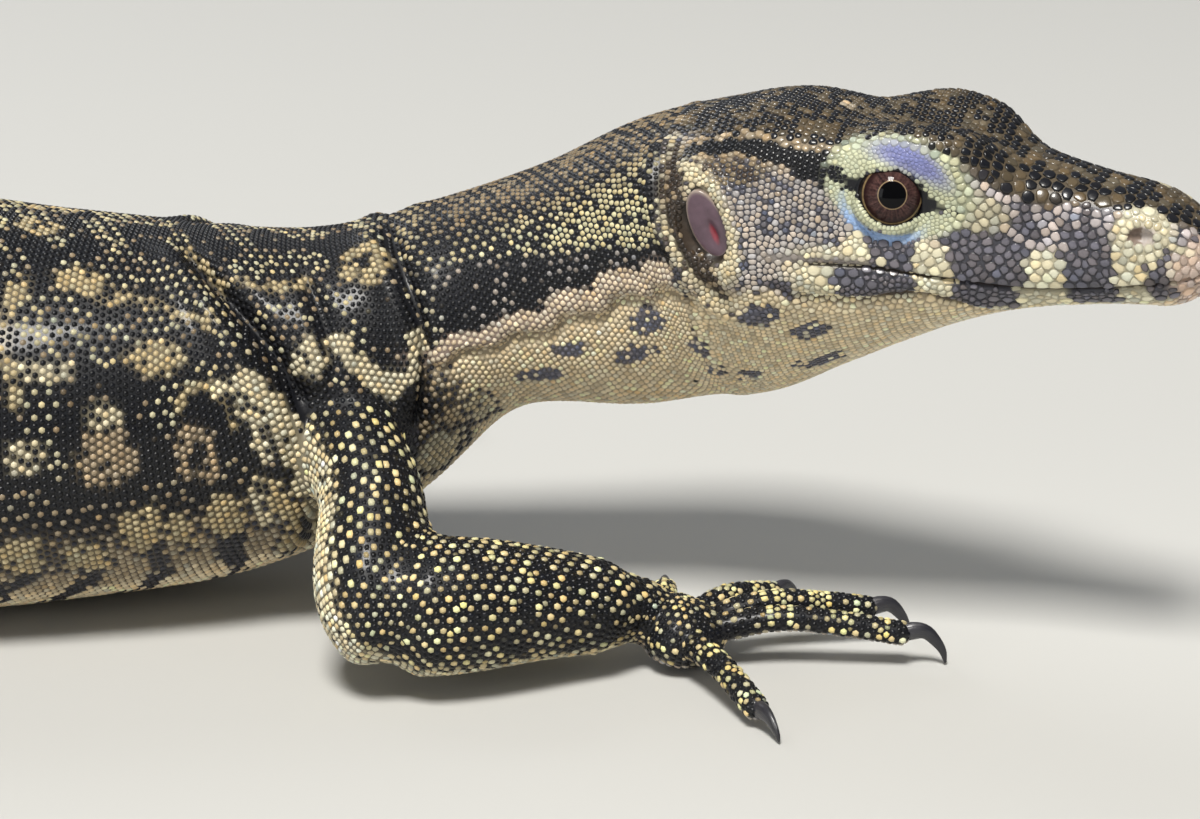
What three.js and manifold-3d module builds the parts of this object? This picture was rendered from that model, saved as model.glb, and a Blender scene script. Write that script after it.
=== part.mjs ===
// A water monitor lizard, sub-adult, about 1 m long, at life size and in millimetres.
// It lies on its belly with its neck raised and its right arm forward. +X is the way
// it faces, +Y its left and +Z up. Lengths along the body are measured back from the
// snout tip, and called "back" here.
import * as THREE from "three";
import { mergeVertices } from "three/addons/utils/BufferGeometryUtils.js";
import Module from "manifold-3d";

const wasm = await Module();
wasm.setup();

// Driving dimensions, in millimetres.
const headLength = 76; // snout tip to the back of the head
const shoulderAt = 137;
const hipAt = 372;
const ventAt = 410;
const totalLength = 985;
const gap = 0.3; // between neighbouring pieces
const floorLevel = 0;
const fineness = 0.07; // facets flatter than this are merged
const snoutTip = new THREE.Vector3(123, -38, 64);
const headYaw = 24; // degrees to the animal's right
const headPitch = 1;
const headRoll = 7; // degrees, crown leaning to the right
const eyeRadius = 5.2;
const eyeCentre = { back: 44.7, out: 8.9, up: 7.2 };
const earCentre = { back: 69.3, out: 17.0, up: 3.0 };
const earHalf = { long: 3.0, tall: 5.5, depth: 2.2, lean: -21 };
const nostril = { back: 10.4, out: 7.7, up: 3.4, long: 1.9, tall: 1.3, depth: 1.5 };
const jawCorner = 55;

const radians = THREE.MathUtils.degToRad;
const vector = (x, y, z) => new THREE.Vector3(x, y, z);
const signedPower = (v, p) => Math.sign(v) * Math.abs(v) ** p;
const clamp = THREE.MathUtils.clamp;
const smooth = (v, from, to) => THREE.MathUtils.smoothstep(v, from, to);

// A smooth curve through the rows of a table. The first column is the place along it.
function curveThrough(rows) {
  const at = rows.map((row) => row[0]);
  const columns = rows[0].length - 1;
  const slopes = rows.map((row, i) => {
    const before = rows[Math.max(i - 1, 0)];
    const after = rows[Math.min(i + 1, rows.length - 1)];
    return Array.from({ length: columns }, (_, c) => {
      if (i === 0 || i === rows.length - 1)
        return (after[c + 1] - before[c + 1]) / (after[0] - before[0]);
      const h1 = row[0] - before[0];
      const h2 = after[0] - row[0];
      const rise1 = (row[c + 1] - before[c + 1]) / h1;
      const rise2 = (after[c + 1] - row[c + 1]) / h2;
      return (rise1 * h2 + rise2 * h1) / (h1 + h2);
    });
  });
  return (place) => {
    const s = clamp(place, at[0], at[at.length - 1]);
    let i = 0;
    while (i < at.length - 2 && s > at[i + 1]) i += 1;
    const h = at[i + 1] - at[i];
    const t = (s - at[i]) / h;
    const a = (1 + 2 * t) * (1 - t) ** 2;
    const b = t * (1 - t) ** 2 * h;
    const c = t * t * (3 - 2 * t);
    const d = t * t * (t - 1) * h;
    return slopes[i].map(
      (slope, k) =>
        a * rows[i][k + 1] + b * slope + c * rows[i + 1][k + 1] + d * slopes[i + 1][k],
    );
  };
}

// The head's own frame: +X towards the snout, origin at the snout tip.
const headFrame = new THREE.Matrix4()
  .makeTranslation(snoutTip)
  .multiply(new THREE.Matrix4().makeRotationZ(-radians(headYaw)))
  .multiply(new THREE.Matrix4().makeRotationY(-radians(headPitch)))
  .multiply(new THREE.Matrix4().makeRotationX(radians(headRoll)));

// The line of the body: back, then x, y, z, and the roll in degrees.
const headLine = [0, 20, 40, 56, 62].map((back) => {
  const p = vector(-back, 0, 0).applyMatrix4(headFrame);
  return [back, p.x, p.y, p.z, headRoll];
});
const bodyLine = [
  [80, 50, -5.6, 60.6, 6],
  [95, 37, -2.4, 54, 4],
  [115, 19.5, -0.2, 45.6, 2],
  [shoulderAt, 0, 0, 35.5, 0],
  [153, -15.5, 0, 31.2, 0],
  [178, -40, 0.5, 30, 0],
  [205, -67, 2, 30, 0],
  [245, -107, 5, 30, 0],
  [295, -156, 9, 29, 0],
  [340, -201, 12, 26, 0],
  [hipAt, -232, 12, 23, 0],
  [ventAt, -270, 8, 18, 0],
  [470, -329, -1, 15, 0],
  [550, -406, -22, 12.3, 0],
  [640, -493, -44, 9.8, 0],
  [730, -582, -46, 7.8, 0],
  [820, -668, -24, 5.8, 0],
  [905, -744, 14, 3.8, 0],
  [totalLength, -812, 56, 1.8, 0],
];
const spine = curveThrough([...headLine, ...bodyLine]);

// The body's section: back, half width, height above and depth below the line, and
// how square it is above and below (2 is an ellipse).
const section = curveThrough([
  [0, 6.8, 3.6, 8.6, 2.2, 2.2],
  [6, 7.6, 5.7, 8.7, 2.3, 2.2],
  [12, 8.2, 7.7, 8.8, 2.4, 2.2],
  [20, 9.0, 9.7, 9.6, 2.5, 2.2],
  [29, 10.6, 12.0, 11.2, 2.6, 2.1],
  [36, 12.2, 15.0, 13.4, 2.6, 2.1],
  [44, 13.9, 16.2, 17.0, 2.5, 2.0],
  [54, 15.8, 17.2, 22.0, 2.4, 2.0],
  [64, 17.0, 16.4, 26.8, 2.3, 2.0],
  [76, 17.0, 15.2, 28.6, 2.1, 2.0],
  [95, 16.2, 14.8, 25.0, 2.0, 2.0],
  [115, 16.8, 16.6, 17.0, 2.0, 2.0],
  [shoulderAt, 20.5, 22.6, 22.4, 2.0, 2.0],
  [153, 25.5, 26.2, 25.5, 2.0, 2.1],
  [178, 31.5, 28.8, 28.6, 2.0, 2.2],
  [205, 35.5, 31.6, 30.4, 2.0, 2.4],
  [245, 38.0, 32.2, 30.5, 2.0, 2.5],
  [295, 37.0, 31.0, 29.5, 2.0, 2.5],
  [340, 32.0, 27.2, 26.4, 2.0, 2.4],
  [hipAt, 26.0, 22.5, 23.2, 2.0, 2.3],
  [ventAt, 18.5, 18.5, 18.2, 1.9, 2.2],
  [440, 15.8, 18.2, 16.8, 1.8, 2.2],
  [470, 14.0, 17.2, 15.2, 1.8, 2.1],
  [550, 10.6, 14.6, 12.5, 1.7, 2.0],
  [640, 8.0, 12.0, 10.0, 1.7, 2.0],
  [730, 6.0, 9.6, 8.0, 1.7, 2.0],
  [820, 4.3, 7.0, 6.0, 1.7, 2.0],
  [905, 2.9, 4.5, 4.0, 1.8, 2.0],
  [totalLength, 1.7, 2.2, 2.0, 2.0, 2.0],
]);
const snoutRounding = 9;
const tailRounding = 5;

// Low swellings and hollows of the head, the same on both sides: where, how far they
// spread each way, and how high they stand.
const headForms = [
  { name: "brow", at: [39.8, 8.8, 15.0], spread: [8.0, 4.4, 5.0], rise: 3.6 },
  { name: "front of the brow", at: [32.0, 8.0, 13.5], spread: [4.4, 4.4, 5.0], rise: 2.3 },
  { name: "behind the brow", at: [51.5, 6.0, 17.0], spread: [4.5, 8.0, 5.0], rise: -0.8 },
  { name: "back of the crown", at: [63.0, 4.0, 16.5], spread: [7.0, 8.5, 5.0], rise: 0.9 },
  { name: "brow edge", at: [43.0, 12.0, 12.8], spread: [8.0, 2.6, 2.4], rise: 0.9 },
  { name: "between the brows", at: [42, 0, 16], spread: [10, 4.8, 5], rise: -1.7 },
  { name: "eye hollow", at: [43.6, 13.5, 6.8], spread: [8.4, 5.0, 5.8], rise: -2.0 },
  { name: "side of the snout", at: [25, 9.5, 3.0], spread: [9, 5, 3.4], rise: -0.8 },
  { name: "nose", at: [9.5, 5.0, 6.0], spread: [5.0, 4.0, 4.5], rise: 0.6 },
  { name: "jaw muscle", at: [61, 16.5, -5], spread: [9, 6, 7], rise: 1.1 },
  { name: "temple", at: [57, 13.0, 9.0], spread: [8, 4, 4], rise: -0.5 },
];
// Where the lips meet, seen from the side: back, height in the head's frame.
const mouthLine = curveThrough([
  [-3, -2.2],
  [4, -2.9],
  [14, -4.7],
  [25, -5.5],
  [36, -3.9],
  [46, -2.2],
  [jawCorner, -1.4],
]);
const lipGroove = { depth: 0.5, half: 1.0 };
const folds = [
  // Folds of loose skin that run down the sides of the neck.
  { back: 118, half: 2.2, depth: 1.1, lean: 5 },
  { back: 146, half: 3.5, depth: 1.9, lean: 16 },
];

function relief(back, y, z) {
  let rise = 0;
  if (back < 90)
    for (const form of headForms) {
      const [b, out, up] = form.at;
      const [db, dout, dup] = form.spread;
      rise +=
        form.rise *
        Math.exp(
          -(((back - b) / db) ** 2) - ((Math.abs(y) - out) / dout) ** 2 - ((z - up) / dup) ** 2,
        );
    }
  if (back < jawCorner + 6) {
    const away = (z - mouthLine(back)[0]) / lipGroove.half;
    rise -= lipGroove.depth * Math.exp(-away * away) * (1 - smooth(back, jawCorner - 4, jawCorner + 4));
  }
  for (const fold of folds) {
    const line = fold.back - (fold.lean * z) / 20;
    const away = (back - line) / fold.half;
    const side = smooth(Math.abs(y), 4, 12);
    rise -= fold.depth * Math.exp(-away * away) * side;
  }
  return rise;
}

// A point of the trunk's surface in its section plane: across and up from the line.
function sectionPoint(back, angle, grow) {
  const [half, above, below, squareAbove, squareBelow] = section(back);
  const nose = Math.sqrt(1 - (1 - clamp(back / snoutRounding, 0, 1)) ** 2);
  const end = Math.sqrt(1 - (1 - clamp((totalLength - back) / tailRounding, 0, 1)) ** 2);
  const size = nose * end;
  const up = Math.sin(angle);
  const power = 2 / (up > 0 ? squareAbove : squareBelow);
  const y = half * size * signedPower(Math.cos(angle), power);
  const z = (up > 0 ? above : below) * size * signedPower(up, power);
  const radius = Math.hypot(y, z);
  if (radius < 1e-6) return { y: 0, z: 0 };
  const stretch = (radius + (relief(back, y, z) * size + grow)) / radius;
  return { y: y * stretch, z: z * stretch };
}

// The trunk's own frame at a place: its point on the line, and its left and up.
function frameAt(back) {
  const [x, y, z, roll] = spine(back);
  const step = 8;
  const ahead = spine(Math.max(back - step, 0));
  const behind = spine(Math.min(back + step, totalLength));
  const forward = vector(ahead[0] - behind[0], ahead[1] - behind[1], ahead[2] - behind[2]);
  forward.normalize();
  const left = vector(0, 0, 1).cross(forward).normalize();
  left.applyAxisAngle(forward, radians(roll));
  return { origin: vector(x, y, z), forward, left, up: forward.clone().cross(left) };
}

function trunkPoint(back, angle, grow = 0) {
  const frame = frameAt(back);
  const { y, z } = sectionPoint(back, angle, grow);
  return frame.origin.addScaledVector(frame.left, y).addScaledVector(frame.up, z);
}

// A closed solid from rings of points, with a cap or a single point at each end.
function solidFromRings(rings) {
  const sides = rings[0].length;
  const points = rings.flat();
  const triangles = [];
  for (let r = 0; r + 1 < rings.length; r += 1)
    for (let i = 0; i < sides; i += 1) {
      const a = r * sides + i;
      const b = r * sides + ((i + 1) % sides);
      triangles.push(a, a + sides, b, b, a + sides, b + sides);
    }
  const centreOf = (ring) =>
    ring.reduce((sum, p) => sum.add(p), vector(0, 0, 0)).divideScalar(sides);
  const first = points.push(centreOf(rings[0])) - 1;
  const last = points.push(centreOf(rings[rings.length - 1])) - 1;
  const lastRing = (rings.length - 1) * sides;
  for (let i = 0; i < sides; i += 1) {
    const next = (i + 1) % sides;
    triangles.push(first, i, next, last, lastRing + next, lastRing + i);
  }
  const geometry = new THREE.BufferGeometry().setFromPoints(points);
  geometry.setIndex(triangles);
  return solidOf(geometry);
}

function solidOf(geometry) {
  const bare = geometry.index ? geometry.toNonIndexed() : geometry.clone();
  bare.deleteAttribute("normal");
  bare.deleteAttribute("uv");
  const merged = mergeVertices(bare, 1e-4);
  const made = new wasm.Manifold(
    new wasm.Mesh({
      numProp: 3,
      vertProperties: merged.attributes.position.array,
      triVerts: new Uint32Array(merged.index.array),
    }),
  );
  if (made.volume() >= 0) return made;
  const turned = merged.index.array.slice().reverse();
  return new wasm.Manifold(
    new wasm.Mesh({
      numProp: 3,
      vertProperties: merged.attributes.position.array,
      triVerts: new Uint32Array(turned),
    }),
  );
}

// The largest closed piece of a solid.
function largest(solid) {
  const pieces = solid.decompose();
  return pieces.sort((a, b) => b.volume() - a.volume())[0];
}

// Where the trunk's rings lie: close together on the head and over the neck's folds.
function evenly(from, to, count) {
  return Array.from({ length: count }, (_, i) => from + ((to - from) * i) / count);
}
const ringPlaces = [
  ...[0.05, 0.5, 1.4, 2.8, 4.6],
  ...evenly(6.6, 70, 24),
  ...evenly(70, 112, 8),
  ...evenly(112, 160, 15),
  ...evenly(160, 410, 22),
  ...evenly(410, 960, 30),
  ...[960, 972, 979, 982.5, 984.2, 984.9],
];

// A length of the trunk, from one place to another, as a closed solid.
function trunkLength(from, to, sides, grow = 0) {
  const inside = ringPlaces.filter((back) => back > from + 0.6 && back < to - 0.6);
  const ends = [from < 0.1 ? ringPlaces[0] : from, to > 984.5 ? ringPlaces.at(-1) : to];
  const rings = [ends[0], ...inside, ends[1]].map((back) =>
    Array.from({ length: sides }, (_, i) => trunkPoint(back, (2 * Math.PI * i) / sides, grow)),
  );
  return solidFromRings(rings);
}

// A shape drawn in the head's side view, as a slab right across the head.
function headSlab(outline) {
  const halfThickness = 40;
  const shape = new THREE.Shape(outline.map(([back, up]) => new THREE.Vector2(-back, up)));
  const slab = new THREE.ExtrudeGeometry(shape, { depth: 2 * halfThickness, bevelEnabled: false });
  slab.translate(0, 0, -halfThickness);
  slab.rotateX(Math.PI / 2);
  return solidOf(slab.applyMatrix4(headFrame));
}

// The part of the head below the mouth line, as far back as the jaw's corner. With a
// shift it starts that much higher and farther back.
function belowTheMouth(shift) {
  const backs = evenly(-3, jawCorner, 24);
  const edge = backs.map((back) => [back, mouthLine(back)[0] + shift]);
  const corner = [jawCorner + shift, mouthLine(jawCorner)[0] + shift];
  return headSlab([...edge, corner, [jawCorner + 7 + shift, -40], [-3, -40]]);
}

// A tube through the given places, each with its half width and half height. Its
// width lies flat, and both ends are rounded.
function tube(places, { steps, sides, grow = 0, endRounding = 0.8 }) {
  const line = new THREE.CatmullRomCurve3(
    places.map((p) => vector(...p.at)),
    false,
    "centripetal",
  );
  const sizes = curveThrough(places.map((p, i) => [i / (places.length - 1), p.wide, p.high]));
  const rings = Array.from({ length: steps + 1 }, (_, k) => {
    const u = (1 - Math.cos((Math.PI * k) / steps)) / 2;
    const [wide, high] = sizes(u);
    const forward = line.getTangent(u);
    const left = vector(0, 0, 1).cross(forward).normalize();
    const above = forward.clone().cross(left);
    const fromEnd = Math.min(u, 1 - u) * line.getLength();
    const reach = Math.max(wide, high) * endRounding;
    const size = Math.max(Math.sqrt(1 - (1 - clamp(fromEnd / reach, 0, 1)) ** 2), 0.03);
    const lengthwise = Math.sqrt(1 - size * size) * grow * (u < 0.5 ? -1 : 1);
    return Array.from({ length: sides }, (_, i) => {
      const angle = (2 * Math.PI * (i + 0.5)) / sides;
      return line
        .getPoint(u)
        .addScaledVector(forward, lengthwise)
        .addScaledVector(left, (wide + grow) * size * Math.cos(angle))
        .addScaledVector(above, (high + grow) * size * Math.sin(angle));
    });
  });
  return solidFromRings(rings);
}

// The edge of a lid goes across the eyeball from the rear corner (0) to the front (1).
const lidShape = { corner: 74, upper: 52, lower: -48, slope: 10, thick: 1.1, standOff: 0.3 };

function lid(side, opening) {
  const { corner, slope, thick, standOff } = lidShape;
  const reach = eyeRadius + standOff;
  const places = evenly(0, 1, 8).concat(1).map((share) => {
    const turn = radians(corner * (2 * share - 1));
    const lift = radians(opening * Math.sin(Math.PI * share) ** 0.8 + slope * (0.5 - share));
    const width = thick * (0.6 + 0.4 * Math.sin(Math.PI * share));
    const at = [
      Math.sin(turn) * reach - eyeCentre.back,
      side * (Math.cos(turn) * Math.cos(lift) * reach + eyeCentre.out),
      Math.sin(lift) * reach + eyeCentre.up,
    ];
    return { at, wide: width, high: width };
  });
  return tube(places, { steps: 9, sides: 5, endRounding: 0.6 }).transform(headFrame.elements);
}

function eyeball(side, grow = 0) {
  const sphere = new THREE.SphereGeometry(eyeRadius + grow, 18, 10);
  sphere.translate(-eyeCentre.back, side * eyeCentre.out, eyeCentre.up);
  return solidOf(sphere.applyMatrix4(headFrame));
}

// Shapes that lie on the side of the head, facing out from it.
function onTheSide(geometry, side, at, lean) {
  geometry.rotateY(radians(lean));
  geometry.translate(-at.back, side * at.out, at.up);
  return solidOf(geometry.applyMatrix4(headFrame));
}

function earCup(side) {
  const { long, tall, depth, lean } = earHalf;
  const cup = new THREE.CylinderGeometry(1, 0.9, 2 * depth, 16);
  if (side < 0) cup.rotateX(Math.PI);
  cup.scale(long, 1, tall);
  return onTheSide(cup, side, earCentre, lean);
}

function earDrum(side) {
  const { long, tall, depth, lean } = earHalf;
  const drum = new THREE.SphereGeometry(1, 16, 6);
  drum.scale(long - 0.75, 0.9, tall - 0.85);
  const floorOfCup = { ...earCentre, out: earCentre.out - depth + gap + 0.9 };
  return onTheSide(drum, side, floorOfCup, lean);
}

function ringOnHead(side, at, long, tall, thick, lean) {
  const ring = new THREE.TorusGeometry(1, 0.16, 5, 16);
  ring.rotateX(Math.PI / 2);
  ring.scale(long, thick / 0.16, tall);
  return onTheSide(ring, side, at, lean);
}

function nostrilPit(side) {
  const pit = new THREE.SphereGeometry(1, 10, 6);
  pit.scale(nostril.long, nostril.depth, nostril.tall);
  return onTheSide(pit, side, nostril, 0);
}

// The arms and legs. Places are x, y, z on the centre line, with half width and height.
const place = (x, y, z, wide, high = wide) => ({ at: [x, y, z], wide, high });
const hindDigits = [
  { from: [10.0, -5.2], turn: -44, length: 12.5, lift: 0 },
  { from: [14.0, -4.0], turn: -20, length: 19, lift: 0.6 },
  { from: [15.5, -1.0], turn: -2, length: 26, lift: 0.8 },
  { from: [15.0, 2.2], turn: 15, length: 31, lift: 0.8 },
  { from: [7.5, 5.0], turn: 62, length: 20, lift: 0 },
];
const limbs = {
  arm_right: {
    side: -1,
    upper: [
      place(-1, -12, 32, 7, 9),
      place(5.5, -26, 24.5, 7.6, 8.4),
      place(7, -38, 14, 8.6, 9),
      place(11, -43, 7, 6.6, 7),
    ],
    lower: [
      place(6, -41, 12.5, 8.5, 9.4),
      place(18, -38, 12.5, 9.6, 9.8),
      place(31, -33.5, 11, 8.2, 8.0),
      place(44.5, -29, 8.2, 5.8, 6.0),
    ],
    foot: {
      wrist: [44, -29, 7.8],
      heading: 4,
      palm: [12, 7.4, 4.6],
      digits: [
        { from: [3.0, -5.5], turn: -92, length: 13.5, lift: 3.6 },
        { from: [8.5, -6.0], turn: -50, length: 17, lift: 3.4 },
        { from: [11.5, -4.0], turn: -17, length: 23.5, lift: 5.5 },
        { from: [11.8, 0.0], turn: -4, length: 27, lift: 5 },
        { from: [7.5, 4.8], turn: 60, length: 20.5, lift: 0.8 },
      ],
    },
  },
  arm_left: {
    side: 1,
    upper: [place(-3, 12, 31, 7.5, 9), place(-14, 25, 27, 8.0, 8.6), place(-32, 39, 18, 8.6, 8.8)],
    lower: [
      place(-34, 39, 17, 8.2, 9),
      place(-32, 47, 15, 8.8, 9),
      place(-27, 57, 11, 7.2, 7),
      place(-20, 66, 7.4, 4.9, 4.7),
    ],
    foot: {
      wrist: [-20.5, 66, 7],
      heading: 24,
      palm: [10.5, 6.4, 3.6],
      digits: [
        { from: [4.0, -4.5], turn: -52, length: 12.5, lift: 0 },
        { from: [9.0, -3.6], turn: -27, length: 16.5, lift: 0.4 },
        { from: [11.0, -1.0], turn: -6, length: 22, lift: 0.8 },
        { from: [10.5, 2.0], turn: 16, length: 23, lift: 0.6 },
        { from: [6.5, 4.5], turn: 58, length: 18, lift: 0 },
      ],
    },
  },
  leg_right: {
    side: -1,
    upper: [place(-237, -4, 25, 9, 10), place(-231, -22, 25, 11.5, 12), place(-221, -45, 19, 9.6, 9.6)],
    lower: [
      place(-219, -46.5, 18, 8.6, 9.2),
      place(-229, -51, 15, 9.6, 9.6),
      place(-244, -57, 11, 7.6, 7.2),
      place(-256, -62, 7.4, 5.4, 5.0),
    ],
    foot: { wrist: [-256, -62, 6.8], heading: 38, palm: [15, 7.0, 3.8], digits: hindDigits },
  },
  leg_left: {
    side: 1,
    upper: [place(-237, 26, 25, 9, 10), place(-227, 43, 25, 11.5, 12), place(-208, 62, 18.5, 9.6, 9.6)],
    lower: [
      place(-206, 63, 17.5, 8.6, 9.2),
      place(-214, 70, 14.5, 9.6, 9.6),
      place(-225, 80, 10.6, 7.6, 7.2),
      place(-232, 89, 7.2, 5.4, 5.0),
    ],
    foot: { wrist: [-232, 89, 6.6], heading: 30, palm: [15, 7.0, 3.8], digits: hindDigits },
  },
};
const digitHalf = { root: 2.7, joint: 2.2, tip: 2.1, high: 0.94 };
const clawSize = { length: 5, root: 1.35, tip: 0.28, arch: 0.35 };
const sole = 1.95; // height of a toe's centre line where it lies on the floor

// The directions of a foot: ahead along its heading, and outwards from the body.
function footFrame({ side, foot }) {
  const turn = radians(foot.heading);
  const ahead = vector(Math.cos(turn), side * Math.sin(turn), 0);
  const out = vector(-Math.sin(turn), side * Math.cos(turn), 0);
  return { ahead, out };
}

// The places of a toe, from inside the palm to its tip.
function digitLine(limb, digit) {
  const { ahead, out } = footFrame(limb);
  const root = vector(...limb.foot.wrist);
  root.addScaledVector(ahead, digit.from[0]).addScaledVector(out, digit.from[1]);
  const turn = radians(digit.turn);
  const along = ahead.multiplyScalar(Math.cos(turn)).addScaledVector(out, Math.sin(turn));
  const at = (share, height) =>
    root.clone().addScaledVector(along, digit.length * share).setZ(height);
  const rootHeight = limb.foot.palm[2] + 0.4;
  const knuckle = rootHeight + digit.lift * 0.45;
  const tip = sole + digit.lift * 0.55;
  const toe = [
    at(-0.14, rootHeight),
    at(0.28, knuckle),
    at(0.64, knuckle * 0.5 + tip * 0.5 + 0.4),
    at(1, tip),
  ];
  return { along, toe };
}

function toeTube(limb, digit, grow = 0) {
  const { root, joint, tip, high } = digitHalf;
  const halves = [root, joint, joint * 0.96, tip];
  const places = digitLine(limb, digit).toe.map((p, i) => ({
    at: p.toArray(),
    wide: halves[i],
    high: halves[i] * high,
  }));
  return tube(places, { steps: 7, sides: 6, grow });
}

function clawTube(limb, digit) {
  const { along, toe } = digitLine(limb, digit);
  const { length, root, tip, arch } = clawSize;
  const start = toe[3].clone().addScaledVector(along, -1.2);
  start.z += 0.3;
  const at = (share, height) => start.clone().addScaledVector(along, (length + 1.2) * share).setZ(height);
  const floor = tip + 0.05;
  const places = [
    { at: start.toArray(), wide: root * 0.85, high: root * 1.1 },
    { at: at(0.45, start.z + arch).toArray(), wide: root * 0.75, high: root },
    { at: at(0.85, start.z * 0.62 + floor * 0.3).toArray(), wide: root * 0.45, high: root * 0.65 },
    { at: at(1, floor).toArray(), wide: tip, high: tip },
  ];
  return tube(places, { steps: 5, sides: 5, endRounding: 0.5 });
}

function palmTube(limb) {
  const { ahead } = footFrame(limb);
  const [length, wide, high] = limb.foot.palm;
  const wrist = vector(...limb.foot.wrist);
  const at = (share, height) =>
    wrist.clone().addScaledVector(ahead, length * share).setZ(height).toArray();
  const places = [
    { at: wrist.toArray(), wide: 5.2, high: 5.0 },
    { at: at(0.45, high * 1.15), wide, high: high * 1.1 },
    { at: at(1.05, high * 0.92 - 0.15), wide: wide * 0.86, high: high * 0.92 },
  ];
  return tube(places, { steps: 6, sides: 10 });
}

// The nodes, each a closed solid cut clear of the ones made before it.
const colours = {
  scaledSkin: 0x2e2822,
  paleSkin: 0xa8967c,
  crown: 0x4c4136,
  eye: 0x24170f,
  ear: 0x8a7577,
  claw: 0x1f242d,
};
const finish = {
  scaledSkin: { roughness: 0.42, metalness: 0 },
  paleSkin: { roughness: 0.45, metalness: 0 },
  crown: { roughness: 0.42, metalness: 0 },
  eye: { roughness: 0.06, metalness: 0 },
  ear: { roughness: 0.5, metalness: 0 },
  claw: { roughness: 0.28, metalness: 0 },
};

const group = new THREE.Group();
group.name = "water_monitor";

// A node keeps its largest closed piece, cut off at the floor.
function addNode(name, solid, kind) {
  const settled = largest(solid.trimByPlane([0, 0, 1], floorLevel)).simplify(fineness);
  const mesh = settled.getMesh();
  const geometry = new THREE.BufferGeometry();
  geometry.setAttribute("position", new THREE.BufferAttribute(mesh.vertProperties, mesh.numProp));
  geometry.setIndex(new THREE.BufferAttribute(mesh.triVerts, 1));
  geometry.computeVertexNormals();
  const material = new THREE.MeshStandardMaterial({ color: colours[kind], ...finish[kind] });
  const node = new THREE.Mesh(geometry, material);
  node.name = name;
  group.add(node);
  return settled;
}

// The head, with its lids, ear cups and nostrils, and the lower jaw.
const headWhole = trunkLength(0, headLength - gap / 2, 28);
const sides = [1, -1];
const addedToHead = sides.flatMap((side) => [
  lid(side, lidShape.upper),
  lid(side, lidShape.lower),
  ringOnHead(side, earCentre, earHalf.long + 0.6, earHalf.tall + 0.6, 0.9, earHalf.lean),
  ringOnHead(side, { ...nostril, out: nostril.out - 0.2 }, nostril.long + 0.2, nostril.tall + 0.2, 0.5, 0),
]);
const cutFromHead = sides.flatMap((side) => [
  eyeball(side, gap),
  earCup(side),
  nostrilPit(side),
]);
const head = wasm.Manifold.union([headWhole, ...addedToHead])
  .subtract(wasm.Manifold.union(cutFromHead))
  .subtract(belowTheMouth(gap / 2));
addNode("head", head, "crown");
addNode("jaw", headWhole.intersect(belowTheMouth(-gap / 2)), "paleSkin");
for (const side of sides) {
  const suffix = side > 0 ? "left" : "right";
  addNode(`eye_${suffix}`, eyeball(side), "eye");
  addNode(`ear_${suffix}`, earDrum(side), "ear");
}

// The neck, the body and the tail, in lengths that meet face to face.
const lengths = [
  { name: "neck", from: headLength, to: shoulderAt, sides: 24 },
  { name: "chest", from: shoulderAt, to: 225, sides: 24 },
  { name: "belly", from: 225, to: 340, sides: 24 },
  { name: "hips", from: 340, to: 425, sides: 24 },
  { name: "tail_1", from: 425, to: 530, sides: 16 },
  { name: "tail_2", from: 530, to: 670, sides: 14 },
  { name: "tail_3", from: 670, to: 830, sides: 12 },
  { name: "tail_4", from: 830, to: totalLength + gap, sides: 10 },
];
for (const { name, from, to, sides: count } of lengths)
  addNode(name, trunkLength(from + gap / 2, to - gap / 2, count), "scaledSkin");
const clearOfTrunk = trunkLength(headLength, 425 + gap, 24, gap);

// The limbs: upper and lower length, foot with its toes, and claws.
for (const [name, limb] of Object.entries(limbs)) {
  const fore = name.startsWith("arm");
  const lengthwise = { steps: 9, sides: 12 };
  const upper = tube(limb.upper, lengthwise).subtract(clearOfTrunk);
  const lower = tube(limb.lower, lengthwise)
    .subtract(clearOfTrunk)
    .subtract(tube(limb.upper, { ...lengthwise, grow: gap }));
  const toes = limb.foot.digits.map((digit) => toeTube(limb, digit));
  const foot = wasm.Manifold.union([palmTube(limb), ...toes])
    .subtract(clearOfTrunk)
    .subtract(tube(limb.lower, { ...lengthwise, grow: gap }));
  addNode(`${name}_upper`, upper, "scaledSkin");
  addNode(`${name}_lower`, lower, "scaledSkin");
  addNode(`${name}_${fore ? "hand" : "foot"}`, foot, "scaledSkin");
  limb.foot.digits.forEach((digit, i) => {
    const claw = clawTube(limb, digit).subtract(toeTube(limb, digit, gap));
    addNode(`${name}_claw_${i + 1}`, claw, "claw");
  });
}

// The origin is under the middle of the whole animal, on the floor.
const bounds = new THREE.Box3().setFromObject(group);
const middle = bounds.getCenter(vector(0, 0, 0));
for (const node of group.children) node.geometry.translate(-middle.x, -middle.y, -bounds.min.z);

export default group;
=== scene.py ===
"""A water monitor lizard: skin, scales, eyes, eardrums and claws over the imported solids.

Sizes are in millimetres in the animal's own frame (+X the way it faces, +Y its left,
origin on the floor under the shoulders) and become metres when a mesh is made. "back"
is a length along the body from the snout tip, and an angle goes round the body from
its left side (0) over the back (90) to its right side (180) and the belly (270).
"""

import itertools

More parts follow.
